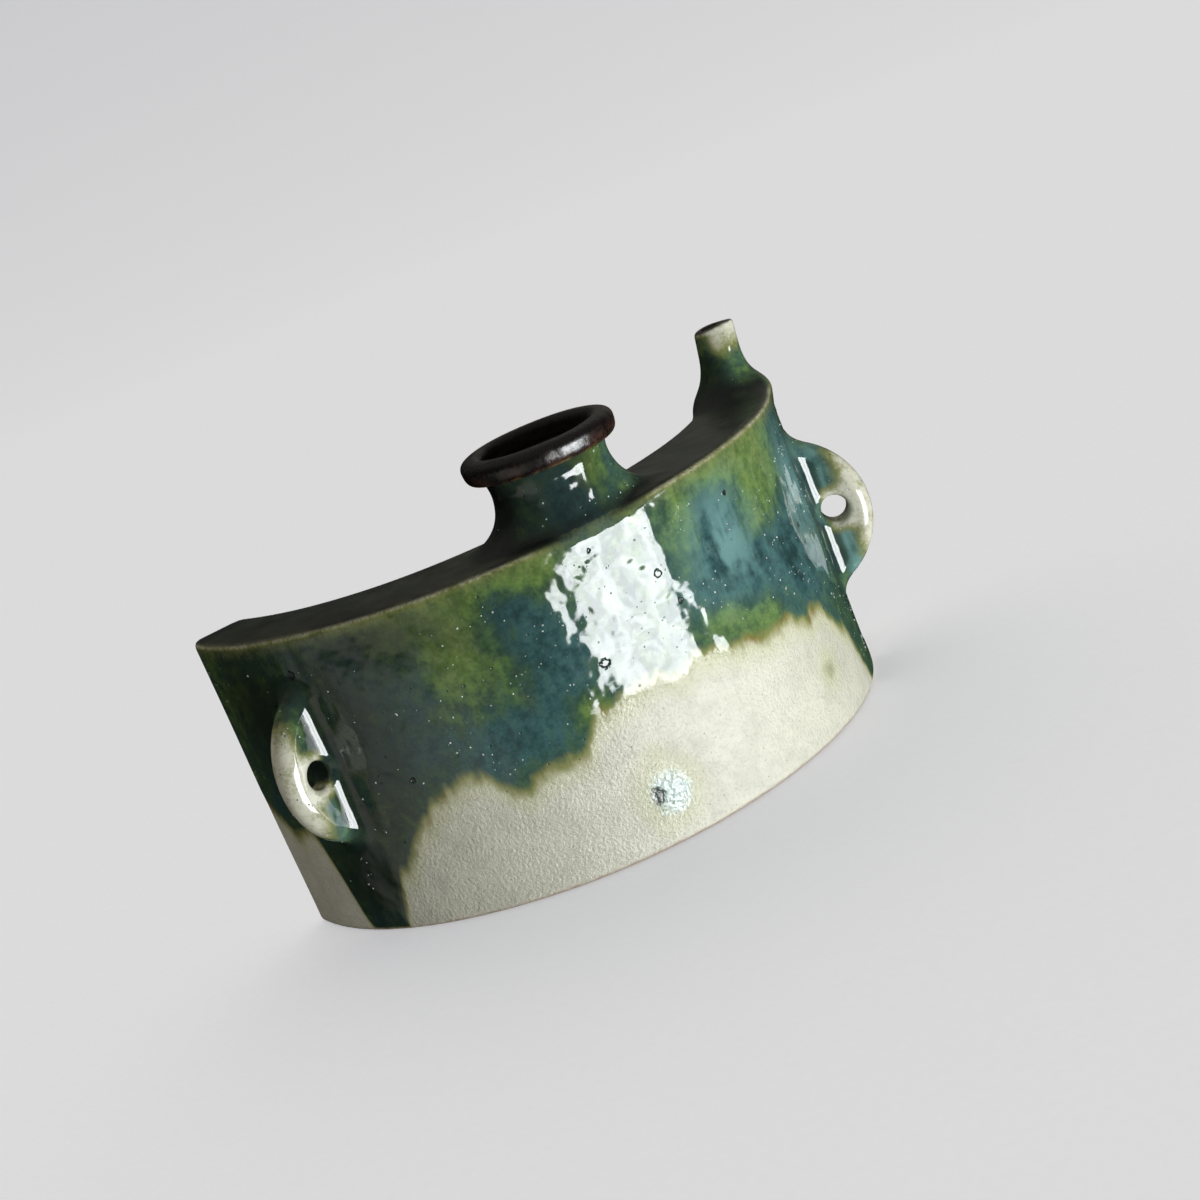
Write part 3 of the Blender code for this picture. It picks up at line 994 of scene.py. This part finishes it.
def steps(tree, value, low, high, to_low=0.0, to_high=1.0):
    inputs = {"Value": value, "From Min": low, "From Max": high, "To Min": to_low, "To Max": to_high}
    return put(tree, "ShaderNodeMapRange", inputs, interpolation_type="SMOOTHSTEP").outputs[0]


def blend(tree, share, a, b):
    colours = [value if isinstance(value, bpy.types.NodeSocket) else rgba(value) for value in (a, b)]
    return put(tree, "ShaderNodeMix", {0: share, 6: colours[0], 7: colours[1]}, data_type="RGBA").outputs[2]


def mark(tree, name):
    return put(tree, "ShaderNodeAttribute", attribute_name=name).outputs["Fac"]


def jitter(tree, value, wander, reach):
    """A value pushed up and down by noise."""
    return plus(tree, value, times(tree, minus(tree, wander, 0.5), reach))


def new_material(name):
    made = bpy.data.materials.new(name)
    made.use_nodes = True
    made.node_tree.nodes.clear()
    return made, made.node_tree


def surface(tree, base, roughness, normal, specular):
    inputs = {"Base Color": base, "Roughness": roughness, "Normal": normal, "Specular IOR Level": specular}
    shader = put(tree, "ShaderNodeBsdfPrincipled", inputs)
    put(tree, "ShaderNodeOutputMaterial", {"Surface": shader.outputs[0]})


def object_place(tree, scale=(1, 1, 1)):
    place = put(tree, "ShaderNodeTexCoord").outputs["Object"]
    return put(tree, "ShaderNodeMapping", {"Vector": place, "Scale": scale}).outputs[0]


def bumped(tree, height, distance):
    return put(tree, "ShaderNodeBump", {"Height": height, "Distance": distance}).outputs[0]


def ramp(tree, share, stops):
    """A colour along a row of stops."""
    node = put(tree, "ShaderNodeValToRGB", {0: share})
    elements = node.color_ramp.elements
    while len(elements) < len(stops):
        elements.new(0.5)
    for element, (position, rgb) in zip(elements, stops):
        element.position = position
        element.color = rgba(rgb)
    return node.outputs[0]


# Materials

def front_point(way, height):
    """The place on the front at a way round and a height, both in mm."""
    radius = clay().front_radius
    turn = way * MM / radius
    return radius * math.sin(turn), front_centre() - radius * math.cos(turn), height * MM


def burst_bubbles(tree, place):
    """How far a place lies inside the nearest burst bubble, in radii: 1 at its middle, 0 at its edge."""
    inside = None
    for way, height, radius in BURST_BUBBLES:
        far = vectors(tree, "DISTANCE", place, front_point(way, height), "Value")
        share = minus(tree, 1.0, calc(tree, "DIVIDE", far, radius * MM))
        inside = share if inside is None else larger(tree, inside, share)
    return inside


def pinholes(tree, place):
    """Small pits in the glass, in some cells of a pattern."""
    pattern = cell_pattern(tree, place, PINHOLE_CELLS)
    chosen = put(tree, "ShaderNodeSeparateColor", {0: pattern["Color"]}).outputs[0]
    return times(tree, steps(tree, pattern["Distance"], *SPECK_EDGE), steps(tree, chosen, 0.6, 0.62))


def glaze_patterns(tree):
    """What the glaze's colours, relief and gloss share: noises, pits, and how far above its line they are."""
    place = object_place(tree)
    streak = noise(tree, object_place(tree, STREAK_DRAW), STREAK, 4)
    mottle = noise(tree, place, MOTTLE, 4)
    above = jitter(tree, jitter(tree, mark(tree, "cover"), streak, LINE_FRAY), mottle, LINE_FRAY)
    return SimpleNamespace(
        place=place,
        streak=streak,
        mottle=mottle,
        broad=noise(tree, place, BROAD, 3),
        grain=noise(tree, place, GRAIN, 3, 0.65),
        bubbles=jitter(tree, burst_bubbles(tree, place), noise(tree, place, FRAY, 1), 1.0),
        holes=pinholes(tree, place),
        above=above,
        covered=steps(tree, above, -2.2, 2.0),
    )


def glass_colour(tree, tone, shade):
    """Thick glaze from dark teal through teal and green to grass."""
    g = glaze()
    pale_grass = tuple(0.6 * a + 0.4 * b for a, b in zip(g.grass, g.olive))
    stops = ((0.0, dimmed(g.teal, 0.5)), (0.3, g.teal), (0.52, g.green), (0.75, g.grass), (1.0, pale_grass))
    share = steps(tree, tone, -1.5, 1.5)
    share.node.interpolation_type = "LINEAR"
    return scaled(tree, ramp(tree, share, stops), shade)


def thick_glaze(tree, p):
    """The green glaze at its full depth, milky in places, with painted shade where the mist mark is below
    zero, and dark in hollows.
    """
    g = glaze()
    tone = jitter(tree, jitter(tree, mark(tree, "tone"), p.broad, 1.6), p.mottle, 1.5)
    tone = jitter(tree, tone, p.streak, 1.2)
    shade = steps(tree, jitter(tree, p.mottle, p.grain, 0.7), 0.25, 0.75, 0.7, 1.25)
    glass = glass_colour(tree, tone, shade)
    mist = mark(tree, "mist")
    milky = times(tree, mist, steps(tree, jitter(tree, p.broad, p.streak, 0.6), 0.3, 0.6))
    glass = blend(tree, times(tree, milky, 0.85, clamp=True), glass, g.mist)
    # Painted shade where the mist mark is below zero
    glass = blend(tree, times(tree, mist, -0.9, clamp=True), glass, g.deep_and_shade)
    return blend(tree, times(tree, mark(tree, "hollow"), 0.6), glass, g.deep_and_shade)


def run_glaze(tree, p):
    """The green glaze as it lies: thin at its lower edge and on edges, dark in pits, with painted shade on
    the top's level places.
    """
    g = glaze()
    rusty = steps(tree, jitter(tree, p.broad, p.streak, 0.4), 0.52, 0.7, 0.0, 0.8)
    thin = blend(tree, rusty, g.fringe, g.amber)
    run = blend(tree, steps(tree, p.above, 0.6, 4.0), thin, thick_glaze(tree, p))
    uneven = steps(tree, jitter(tree, p.mottle, p.grain, 0.8), 0.2, 0.7, 0.6, 1.0)
    worn = times(tree, mark(tree, "thin"), uneven)
    run = blend(tree, steps(tree, worn, 0.05, 0.55), run, g.olive)
    run = blend(tree, steps(tree, worn, 0.35, 1.0, 0.0, 0.92), run, g.cream)
    # Painted shade on the top's level places, a little uneven
    patchy = steps(tree, jitter(tree, p.broad, p.mottle, 0.7), 0.3, 0.7, 0.82, 1.0)
    run = blend(tree, times(tree, mark(tree, "pool"), patchy), run, g.deep_and_shade)
    # Partly painted reflection: the green spots turn pale aqua where the window's reflection lies on them
    foamy = steps(tree, jitter(tree, p.grain, p.mottle, 0.6), 0.3, 0.5, 0.3, 0.95)
    run = blend(tree, times(tree, mark(tree, "island"), foamy), run, g.frost_and_reflection)
    run = blend(tree, steps(tree, p.bubbles, 0.0, 0.4, 0.0, 0.9), run, g.deep_and_shade)
    return blend(tree, times(tree, p.holes, 0.7), run, g.deep_and_shade)


def cream_glaze(tree, p):
    """Pale sandy glaze with a few iron flecks, stained just below the green."""
    g = glaze()
    tint = steps(tree, jitter(tree, p.broad, p.mottle, 0.7), 0.3, 0.8)
    cream = blend(tree, tint, g.cream, dimmed(g.cream, 0.84))
    cream = blend(tree, steps(tree, p.grain, 0.52, 0.34, 0.0, 0.28), cream, dimmed(g.cream, 0.6))
    specks = cell_pattern(tree, p.place, FLECK_CELLS)["Distance"]
    cream = blend(tree, steps(tree, specks, *SPECK_EDGE, 0.0, 0.7), cream, g.fleck)
    return blend(tree, steps(tree, p.above, -7, -1, 0.0, 0.4), cream, g.stain)


def glaze_relief(tree, p):
    """Slow lumps in the green glass with foam on its spots and pits in it, and sand in the cream."""
    lumps = jitter(tree, 0.0, noise(tree, object_place(tree, LUMP_DRAW), LUMPS, 1), LUMP_RELIEF)
    lumps = jitter(tree, lumps, noise(tree, p.place, RIPPLES, 1), RIPPLE_RELIEF)
    foam = jitter(tree, 0.0, noise(tree, p.place, FOAM, 2), FOAM_RELIEF)
    lumps = plus(tree, lumps, times(tree, foam, mark(tree, "island")))
    lumps = minus(tree, lumps, times(tree, steps(tree, p.bubbles, 0.0, 0.5), BUBBLE_DEPTH))
    lumps = minus(tree, lumps, times(tree, p.holes, PINHOLE_DEPTH))
    sand = jitter(tree, 0.0, p.grain, SAND_RELIEF)
    return put(tree, "ShaderNodeMix", {0: p.covered, 2: sand, 3: lumps}).outputs[0]


def running_glaze():
    """Green glaze that runs over a cream one, with a line of bare clay at the foot."""
    name = "running_glaze"
    if name in bpy.data.materials:
        return bpy.data.materials[name]
    made, tree = new_material(name)
    p = glaze_patterns(tree)
    base = blend(tree, p.covered, cream_glaze(tree, p), run_glaze(tree, p))
    height = jitter(tree, upward(tree, p.place), p.mottle, 1.2 * MM)
    bare = steps(tree, height, 1.1 * MM, 0.3 * MM)
    base = blend(tree, bare, base, glaze().clay)
    dull = larger(tree, steps(tree, p.covered, 0, 1, 0.2, 0.07), times(tree, bare, 0.8))
    dull = larger(tree, dull, times(tree, mark(tree, "pool"), 0.3))
    roughness = jitter(tree, dull, p.mottle, 0.05)
    surface(tree, base, roughness, bumped(tree, glaze_relief(tree, p), 1.0), 0.76)
    return made


def iron_rim_glaze():
    """Near-black glaze that breaks to rust on the roll's flank, and to amber at its foot."""
    made, tree = new_material("iron_rim_glaze")
    g = glaze()
    place = object_place(tree)
    broad = noise(tree, place, RIM_BROAD, 4)
    fine = noise(tree, place, RIM_FINE, 4)
    height = upward(tree, place)
    flank = steps(tree, jitter(tree, height, broad, 4 * MM), RIM_HIGH - 1 * MM, RIM_LOW + 1.5 * MM)
    worn = times(tree, steps(tree, jitter(tree, broad, fine, 0.4), 0.42, 0.68), flank)
    base = blend(tree, worn, g.iron, g.rust)
    foot = steps(tree, jitter(tree, height, fine, 1.5 * MM), RIM_LOW + 1.0 * MM, RIM_LOW + 0.3 * MM)
    base = blend(tree, times(tree, foot, steps(tree, broad, 0.45, 0.65, 0.0, 0.8)), base, g.amber)
    relief = times(tree, noise(tree, place, RIM_LUMPS, 2), RIM_RELIEF)
    relief = plus(tree, relief, times(tree, fine, RIM_GRIT))
    surface(tree, base, steps(tree, fine, 0.3, 0.7, 0.23, 0.34), bumped(tree, relief, 1.0), 0.92)
    return made


def bare_clay():
    """Gritty unglazed stoneware, for the coils inside."""
    made, tree = new_material("gritty_clay")
    g = glaze()
    place = object_place(tree)
    grit = noise(tree, place, CLAY_GRIT, 4, 0.65)
    base = blend(tree, noise(tree, place, CLAY_BROAD, 4), g.clay, dimmed(g.clay, 0.78))
    base = blend(tree, steps(tree, grit, 0.66, 0.74), base, g.grit)
    surface(tree, base, steps(tree, grit, 0.2, 0.8, 0.8, 0.95), bumped(tree, grit, CLAY_RELIEF), 0.3)
    return made


def blister_glass():
    """Clear skin of a glaze blister, some of it pale: partly a milky skin, partly painted glints."""
    made, tree = new_material("blister_glass")
    g = glaze()
    tint = noise(tree, object_place(tree), BLISTER_TINT, 2)
    base = blend(tree, steps(tree, tint, 0.4, 0.6), g.blister_deep, g.blister_pale_and_glint)
    surface(tree, base, steps(tree, tint, 0.2, 0.8, 0.05, 0.12), bumped(tree, tint, BLISTER_RELIEF), 0.9)
    return made


# Geometry Nodes

def node_group(name, sizes):
    """A geometry tree with named sizes and a seed, its inputs and its output node."""
    tree = bpy.data.node_groups.new(name, "GeometryNodeTree")
    kinds = dict.fromkeys(("Geometry", *sizes, "Seed"), "NodeSocketFloat")
    kinds.update({"Geometry": "NodeSocketGeometry", "Seed": "NodeSocketInt"})
    for label, kind in kinds.items():
        tree.interface.new_socket(label, in_out="INPUT", socket_type=kind)
    tree.interface.new_socket("Geometry", in_out="OUTPUT", socket_type="NodeSocketGeometry")
    return tree, tree.nodes.new("NodeGroupInput").outputs, tree.nodes.new("NodeGroupOutput")


def grown(name, tree, values, start=None):
    """A plain mesh object made by a geometry tree, with the tree's named inputs set."""
    seed = bpy.data.objects.new(name + "_start", start or bpy.data.meshes.new(name + "_start"))
    bpy.context.scene.collection.objects.link(seed)
    modifier = seed.modifiers.new(name, "NODES")
    modifier.node_group = tree
    for item in tree.interface.items_tree:
        if item.in_out == "INPUT" and item.name in values:
            modifier[item.identifier] = values[item.name]
    graph = bpy.context.evaluated_depsgraph_get()
    mesh = bpy.data.meshes.new_from_object(seed.evaluated_get(graph), depsgraph=graph)
    bpy.data.objects.remove(seed, do_unlink=True)
    mesh.name = name
    made = bpy.data.objects.new(name, mesh)
    bpy.context.scene.collection.objects.link(made)
    return made


def end_tree(tree, geometry, output, material):
    whole = put(tree, "GeometryNodeRealizeInstances", {"Geometry": geometry})
    smooth = put(tree, "GeometryNodeSetShadeSmooth", {"Geometry": whole.outputs[0]})
    painted = put(tree, "GeometryNodeSetMaterial", {"Geometry": smooth.outputs[0]})
    painted.inputs["Material"].default_value = material
    tree.links.new(painted.outputs[0], output.inputs[0])


def uneven_ring(tree, given, place):
    """A ring at the rim's height, pushed out of true by slow noise."""
    inputs = {"Resolution": RING_POINTS, "Radius": given["Ring Radius"]}
    ring = put(tree, "GeometryNodeCurvePrimitiveCircle", inputs).outputs[0]
    inputs = {"Vector": place, "W": given["Seed"], "Scale": RING_DRIFT, "Detail": 1.0}
    drift = put(tree, "ShaderNodeTexNoise", inputs, noise_dimensions="4D").outputs["Color"]
    push = scaled(tree, vectors(tree, "SUBTRACT", drift, (0.5, 0.5, 0.5)), given["Wobble"])
    lift = put(tree, "ShaderNodeCombineXYZ", {"Z": given["Lift"]}).outputs[0]
    inputs = {"Geometry": ring, "Offset": vectors(tree, "ADD", push, lift)}
    uneven = put(tree, "GeometryNodeSetPosition", inputs).outputs[0]
    return put(tree, "GeometryNodeSetCurveNormal", {"Curve": uneven}, mode="Z_UP").outputs[0]


def roll_section(tree, given, place):
    """A circle made a little square, then stretched and tilted."""
    inputs = {"Resolution": SECTION_POINTS, "Radius": 1.0}
    circle = put(tree, "GeometryNodeCurvePrimitiveCircle", inputs).outputs[0]
    sides = put(tree, "ShaderNodeSeparateXYZ", {0: place}).outputs
    squared = {}
    for axis, size in (("X", given["Roll Width"]), ("Y", given["Roll Height"])):
        reach = calc(tree, "POWER", calc(tree, "ABSOLUTE", sides[axis]), given["Squareness"])
        signed = times(tree, reach, calc(tree, "SIGN", sides[axis]))
        squared[axis] = times(tree, signed, times(tree, size, 0.5))
    corner = put(tree, "ShaderNodeCombineXYZ", squared).outputs[0]
    block = put(tree, "GeometryNodeSetPosition", {"Geometry": circle, "Position": corner}).outputs[0]
    tilt = put(tree, "ShaderNodeCombineXYZ", {"Z": given["Tilt"]}).outputs[0]
    turn = put(tree, "FunctionNodeEulerToRotation", {0: tilt}).outputs[0]
    return put(tree, "GeometryNodeTransform", {"Geometry": block, "Rotation": turn}).outputs[0]


def rim_tree(material):
    """A roll of clay swept round the mouth: a rounded section on an uneven ring."""
    sizes = ("Ring Radius", "Roll Width", "Roll Height", "Squareness", "Tilt", "Lift", "Wobble")
    tree, given, output = node_group("rolled_rim", sizes)
    place = put(tree, "GeometryNodeInputPosition").outputs[0]
    ring = uneven_ring(tree, given, place)
    section = roll_section(tree, given, place)
    inputs = {"Curve": ring, "Profile Curve": section, "Fill Caps": False}
    end_tree(tree, put(tree, "GeometryNodeCurveToMesh", inputs).outputs[0], output, material)
    return tree


def carried(tree, name):
    """A mark that the mesh carries, as a geometry tree reads it."""
    return put(tree, "GeometryNodeInputNamedAttribute", {"Name": name}, data_type="FLOAT").outputs[0]


def blister_tree(material):
    """Small domes of glaze scattered where the green glaze lies on the outside."""
    tree, given, output = node_group("glaze_blisters", ("Density", "Radius"))
    place = put(tree, "GeometryNodeInputPosition").outputs[0]
    crowd = steps(tree, noise(tree, place, BLISTER_CROWDS, 3), 0.42, 0.68, 0.05, 1.0)
    here = times(tree, steps(tree, carried(tree, "cover"), 3.0, 9.0), carried(tree, "outside"))
    # Blisters thin out on the top's painted shade, and where the mist mark paints shade
    here = times(tree, here, minus(tree, 1.0, carried(tree, "pool"), clamp=True))
    here = times(tree, here, steps(tree, carried(tree, "mist"), -0.6, -0.1, 0.2, 1.0))
    density = times(tree, times(tree, here, crowd), given["Density"])
    inputs = {"Mesh": given["Geometry"], "Density": density, "Seed": given["Seed"]}
    spots = put(tree, "GeometryNodeDistributePointsOnFaces", inputs, distribute_method="RANDOM").outputs
    inputs = {2: BLISTER_SIZES[0], 3: BLISTER_SIZES[1], "Seed": given["Seed"]}
    sizes = put(tree, "FunctionNodeRandomValue", inputs, data_type="FLOAT").outputs[1]
    wide = times(tree, sizes, given["Radius"])
    inputs = {"X": wide, "Y": wide, "Z": times(tree, wide, BLISTER_HEIGHT)}
    scale = put(tree, "ShaderNodeCombineXYZ", inputs).outputs[0]
    dome = put(tree, "GeometryNodeMeshIcoSphere", {"Radius": 1.0, "Subdivisions": 2}).outputs["Mesh"]
    inputs = {"Points": spots["Points"], "Instance": dome, "Rotation": spots["Rotation"], "Scale": scale}
    end_tree(tree, put(tree, "GeometryNodeInstanceOnPoints", inputs).outputs[0], output, material)
    return tree


# Stage

def floor_finish():
    """Matt pale paper with a faint tooth."""
    made, tree = new_material("pale_paper")
    paper = staging().floor
    base = blend(tree, noise(tree, object_place(tree), PAPER_TOOTH, 3), paper, dimmed(paper, 0.96))
    shader = put(tree, "ShaderNodeBsdfDiffuse", {"Color": base})
    rays = put(tree, "ShaderNodeLightPath").outputs
    seen = larger(tree, rays["Is Camera Ray"], rays["Is Glossy Ray"])
    seen = larger(tree, seen, rays["Is Transmission Ray"])
    glow = put(tree, "ShaderNodeEmission", {"Color": base, "Strength": times(tree, seen, PAPER_GLOW)})
    both = put(tree, "ShaderNodeAddShader", {0: shader.outputs[0], 1: glow.outputs[0]})
    put(tree, "ShaderNodeOutputMaterial", {"Surface": both.outputs[0]})
    return made


def make_floor():
    """A round floor that sweeps up at its edge, the same from every side."""
    sweep = FLOOR_EDGE - FLOOR_FLAT
    radii = [FLOOR_HOLE] + [FLOOR_FLAT + sweep * i / FLOOR_RINGS for i in range(FLOOR_RINGS + 1)]
    corners, faces = [], []
    for radius in radii:
        rise = FLOOR_RISE * max(0, (radius - FLOOR_FLAT) / sweep) ** 2
        for j in range(FLOOR_TURNS):
            a = 2 * math.pi * j / FLOOR_TURNS
            corners.append((radius * math.cos(a), radius * math.sin(a), rise - FLOOR_GAP))
    for i in range(len(radii) - 1):
        inner, outer = i * FLOOR_TURNS, (i + 1) * FLOOR_TURNS
        for j in range(FLOOR_TURNS):
            k = (j + 1) % FLOOR_TURNS
            faces.append((inner + j, outer + j, outer + k, inner + k))
    floor = mesh_object("floor", np.array(corners), np.array(faces), floor_finish())
    floor.visible_shadow = False
    floor.visible_glossy = False


def lamp(name, power, size, heading):
    """An area lamp out along a heading, facing the focus, that doesn't show to the camera."""
    right, up = (math.radians(v) for v in heading)
    out = Vector((math.sin(right) * math.cos(up), -math.cos(right) * math.cos(up), math.sin(up)))
    data = bpy.data.lights.new(name, "AREA")
    data.shape = "RECTANGLE"
    data.size, data.size_y = size
    data.energy = power
    made = bpy.data.objects.new(name, data)
    turned = out.to_track_quat("Z", "Y").to_matrix().to_4x4()
    made.matrix_world = Matrix.Translation(LAMP_FOCUS + out * LAMP_DISTANCE) @ turned
    made.visible_camera = False
    bpy.context.scene.collection.objects.link(made)
    return made


def tear(data):
    """Make a lamp's light uneven, and torn at the lamp's edges."""
    data.use_nodes = True
    tree = data.node_tree
    tree.nodes.clear()
    place = put(tree, "ShaderNodeNewGeometry").outputs["Parametric"]
    sides = put(tree, "ShaderNodeSeparateXYZ", {0: place}).outputs
    across = calc(tree, "PINGPONG", sides["X"], 0.5)
    inward = calc(tree, "MINIMUM", across, calc(tree, "PINGPONG", sides["Y"], 0.5))
    torn = steps(tree, jitter(tree, inward, noise(tree, place, 7, 3), 0.28), 0.05, 0.10)
    strength = times(tree, torn, steps(tree, noise(tree, place, 5, 3), 0.35, 0.65, 0.78, 1.16))
    glow = put(tree, "ShaderNodeEmission", {"Color": rgba(WINDOW_COLOUR), "Strength": strength})
    put(tree, "ShaderNodeOutputLight", {"Surface": glow.outputs[0]})


def make_lamps():
    """The window, and a dim lamp on the right that nothing mirrors."""
    stage = staging()
    tear(lamp("window", stage.window, WINDOW_SIZE, WINDOW_HEADING).data)
    lamp("side", stage.side, SIDE_SIZE, SIDE_HEADING).visible_glossy = False


def make_sky():
    """Light from overhead that fades towards the horizon, a soft light behind and two faint patches."""
    world = bpy.data.worlds.new("sky")
    world.use_nodes = True
    tree = world.node_tree
    tree.nodes.clear()
    stage = staging()
    heading = put(tree, "ShaderNodeTexCoord").outputs["Generated"]
    up = upward(tree, heading)
    overhead = calc(tree, "GREATER_THAN", up, 0.0)
    mirrored = put(tree, "ShaderNodeLightPath").outputs["Is Glossy Ray"]
    axes = (BACK_HEADING, HAZE_HEADING, GLOW_HEADING)
    behind, left, right = (vectors(tree, "DOT_PRODUCT", heading, axis, "Value") for axis in axes)
    strength = times(tree, steps(tree, up, 0.3, 0.75, stage.dusk, stage.sky), overhead)
    strength = times(tree, strength, steps(tree, mirrored, 0, 1, 1.0, SKY_MIRRORED))
    back = times(tree, steps(tree, behind, 0.3, 0.95, 0.0, stage.back), overhead)
    back = times(tree, back, steps(tree, mirrored, 0, 1, 1.0, 0.0))
    haze = times(tree, steps(tree, left, 0.75, 1.0, 0.0, stage.haze), steps(tree, up, -0.1, -0.24))
    for light in (back, haze, steps(tree, right, 0.86, 0.99, 0.0, stage.glow)):
        strength = plus(tree, strength, light)
    sky = put(tree, "ShaderNodeBackground", {"Color": rgba(SKY_COLOUR), "Strength": strength})
    put(tree, "ShaderNodeOutputWorld", {"Surface": sky.outputs[0]})
    bpy.context.scene.world = world


def make_camera():
    """The camera, turned, raised and rolled about its target."""
    stage = staging()
    turn, height, roll = stage.turn, stage.height, stage.roll
    back = Vector((-math.sin(turn) * math.cos(height), -math.cos(turn) * math.cos(height), math.sin(height)))
    right = (-back).cross(Vector((0, 0, 1))).normalized()
    up = back.cross(right)
    side = math.cos(roll) * right - math.sin(roll) * up
    over = math.sin(roll) * right + math.cos(roll) * up
    data = bpy.data.cameras.new("camera")
    data.sensor_width = 36
    data.lens = stage.lens / MM
    data.clip_start = 10 * MM
    camera = bpy.data.objects.new("camera", data)
    turned = Matrix((side, over, back)).transposed().to_4x4()
    camera.matrix_world = Matrix.Translation(Vector(stage.target) + back * stage.distance) @ turned
    bpy.context.scene.collection.objects.link(camera)
    bpy.context.scene.camera = camera


# Operators

class FLASK_OT_walls(bpy.types.Operator):
    """Make the front slab, curled round both tips, and the hip slab between them"""

    bl_idname = "flask.walls"
    bl_label = "Walls"

    def execute(self, context):
        step = clay().grain
        clay_piece("front_wall", front_wall_field, SLAB_MARGIN, step)
        clay_piece("back_wall", back_wall_field, SLAB_MARGIN, step)
        return {"FINISHED"}


class FLASK_OT_slabs(bpy.types.Operator):
    """Make the pierced top slab and the base slab"""

    bl_idname = "flask.slabs"
    bl_label = "Slabs"

    def execute(self, context):
        step = clay().grain
        clay_piece("top_slab", top_slab_field, SLAB_MARGIN, step)
        clay_piece("base_slab", base_slab_field, SLAB_MARGIN, step)
        return {"FINISHED"}


class FLASK_OT_neck(bpy.types.Operator):
    """Make the waisted neck, worked into the top"""

    bl_idname = "flask.neck"
    bl_label = "Neck"

    def execute(self, context):
        clay_piece("neck", neck_piece_field, NECK_MARGIN, clay().fine_grain)
        return {"FINISHED"}


class FLASK_OT_rim(bpy.types.Operator):
    """Sweep the rolled rim round the mouth"""

    bl_idname = "flask.rim"
    bl_label = "Mouth rim"

    def execute(self, context):
        rim = context.scene.flask_rim
        values = {
            "Ring Radius": rim.radius,
            "Roll Width": rim.width,
            "Roll Height": rim.height,
            "Squareness": rim.squareness,
            "Tilt": rim.tilt,
            "Lift": (RIM_LOW + RIM_HIGH) / 2,
            "Wobble": rim.wobble,
            "Seed": rim.seed,
        }
        piece = grown("rolled_mouth_rim", rim_tree(iron_rim_glaze()), values)
        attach(piece, BODY)
        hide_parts("mouth_rim")
        return {"FINISHED"}


class FLASK_OT_spout(bpy.types.Operator):
    """Make the small leaning spout, worked into the top"""

    bl_idname = "flask.spout"
    bl_label = "Spout"

    def execute(self, context):
        clay_piece("spout", spout_piece_field, FITTING_MARGIN, clay().fine_grain)
        return {"FINISHED"}


class FLASK_OT_lugs(bpy.types.Operator):
    """Make both pierced lugs, worked into the wall"""

    bl_idname = "flask.lugs"
    bl_label = "Lugs"

    def execute(self, context):
        for node, side in (("left_lug", -1), ("right_lug", 1)):
            clay_piece(node, lug_piece_field(side), FITTING_MARGIN, clay().fine_grain)
        return {"FINISHED"}


class FLASK_OT_coils(bpy.types.Operator):
    """Give the coils inside the body their clay"""

    bl_idname = "flask.coils"
    bl_label = "Inner coils"

    def execute(self, context):
        material = bare_clay()
        for node in ("base_seam_coil", "left_tip_coil", "right_tip_coil"):
            mesh = frame["nodes"][node].data
            mesh.materials.clear()
            mesh.materials.append(material)
        return {"FINISHED"}


class FLASK_OT_blisters(bpy.types.Operator):
    """Scatter the small blisters of the green glaze over both walls, the neck and the lugs"""

    bl_idname = "flask.blisters"
    bl_label = "Glaze blisters"

    def execute(self, context):
        g = glaze()
        tree = blister_tree(blister_glass())
        for order, node in enumerate(("front_wall", "back_wall", "neck", "right_lug", "left_lug")):
            values = {"Density": g.blister_density, "Radius": g.blister_radius, "Seed": g.seed + order}
            host = bpy.data.objects["glazed_" + node]
            piece = grown(node + "_blisters", tree, values, host.data.copy())
            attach(piece, BODY)
        return {"FINISHED"}


class FLASK_OT_stage(bpy.types.Operator):
    """Make the floor, the lamps, the sky and the camera"""

    bl_idname = "flask.stage"
    bl_label = "Stage"

    def execute(self, context):
        make_floor()
        make_lamps()
        make_sky()
        make_camera()
        context.scene.view_settings.view_transform = "Standard"
        return {"FINISHED"}


# Panel

class FLASK_PT_panel(bpy.types.Panel):
    """Lists the pieces of the flask"""

    bl_idname = "FLASK_PT_panel"
    bl_label = "Crescent flask"
    bl_space_type = "VIEW_3D"
    bl_region_type = "UI"
    bl_category = "Flask"

    def draw(self, context):
        for operator in OPERATORS:
            self.layout.operator(operator.bl_idname)
        for name, group in GROUPS:
            box = self.layout.box()
            for setting in group.__annotations__:
                box.prop(getattr(context.scene, name), setting)


OPERATORS = (
    FLASK_OT_stage,
    FLASK_OT_walls,
    FLASK_OT_slabs,
    FLASK_OT_neck,
    FLASK_OT_rim,
    FLASK_OT_spout,
    FLASK_OT_lugs,
    FLASK_OT_coils,
    FLASK_OT_blisters,
)
GROUPS = (
    ("flask_clay", FlaskClay),
    ("flask_rim", FlaskRim),
    ("flask_glaze", FlaskGlaze),
    ("flask_stage", FlaskStage),
)


def register():
    for name, group in GROUPS:
        bpy.utils.register_class(group)
        setattr(bpy.types.Scene, name, bpy.props.PointerProperty(type=group))
    for operator in OPERATORS:
        bpy.utils.register_class(operator)
    bpy.utils.register_class(FLASK_PT_panel)


def unregister():
    bpy.utils.unregister_class(FLASK_PT_panel)
    for operator in reversed(OPERATORS):
        bpy.utils.unregister_class(operator)
    for name, group in GROUPS:
        delattr(bpy.types.Scene, name)
        bpy.utils.unregister_class(group)


def main():
    register()
    bpy.ops.flask.stage()
    bpy.ops.flask.walls()
    bpy.ops.flask.slabs()
    bpy.ops.flask.neck()
    bpy.ops.flask.rim()
    bpy.ops.flask.spout()
    bpy.ops.flask.lugs()
    bpy.ops.flask.coils()
    bpy.ops.flask.blisters()


if __name__ == "__main__":
    main()
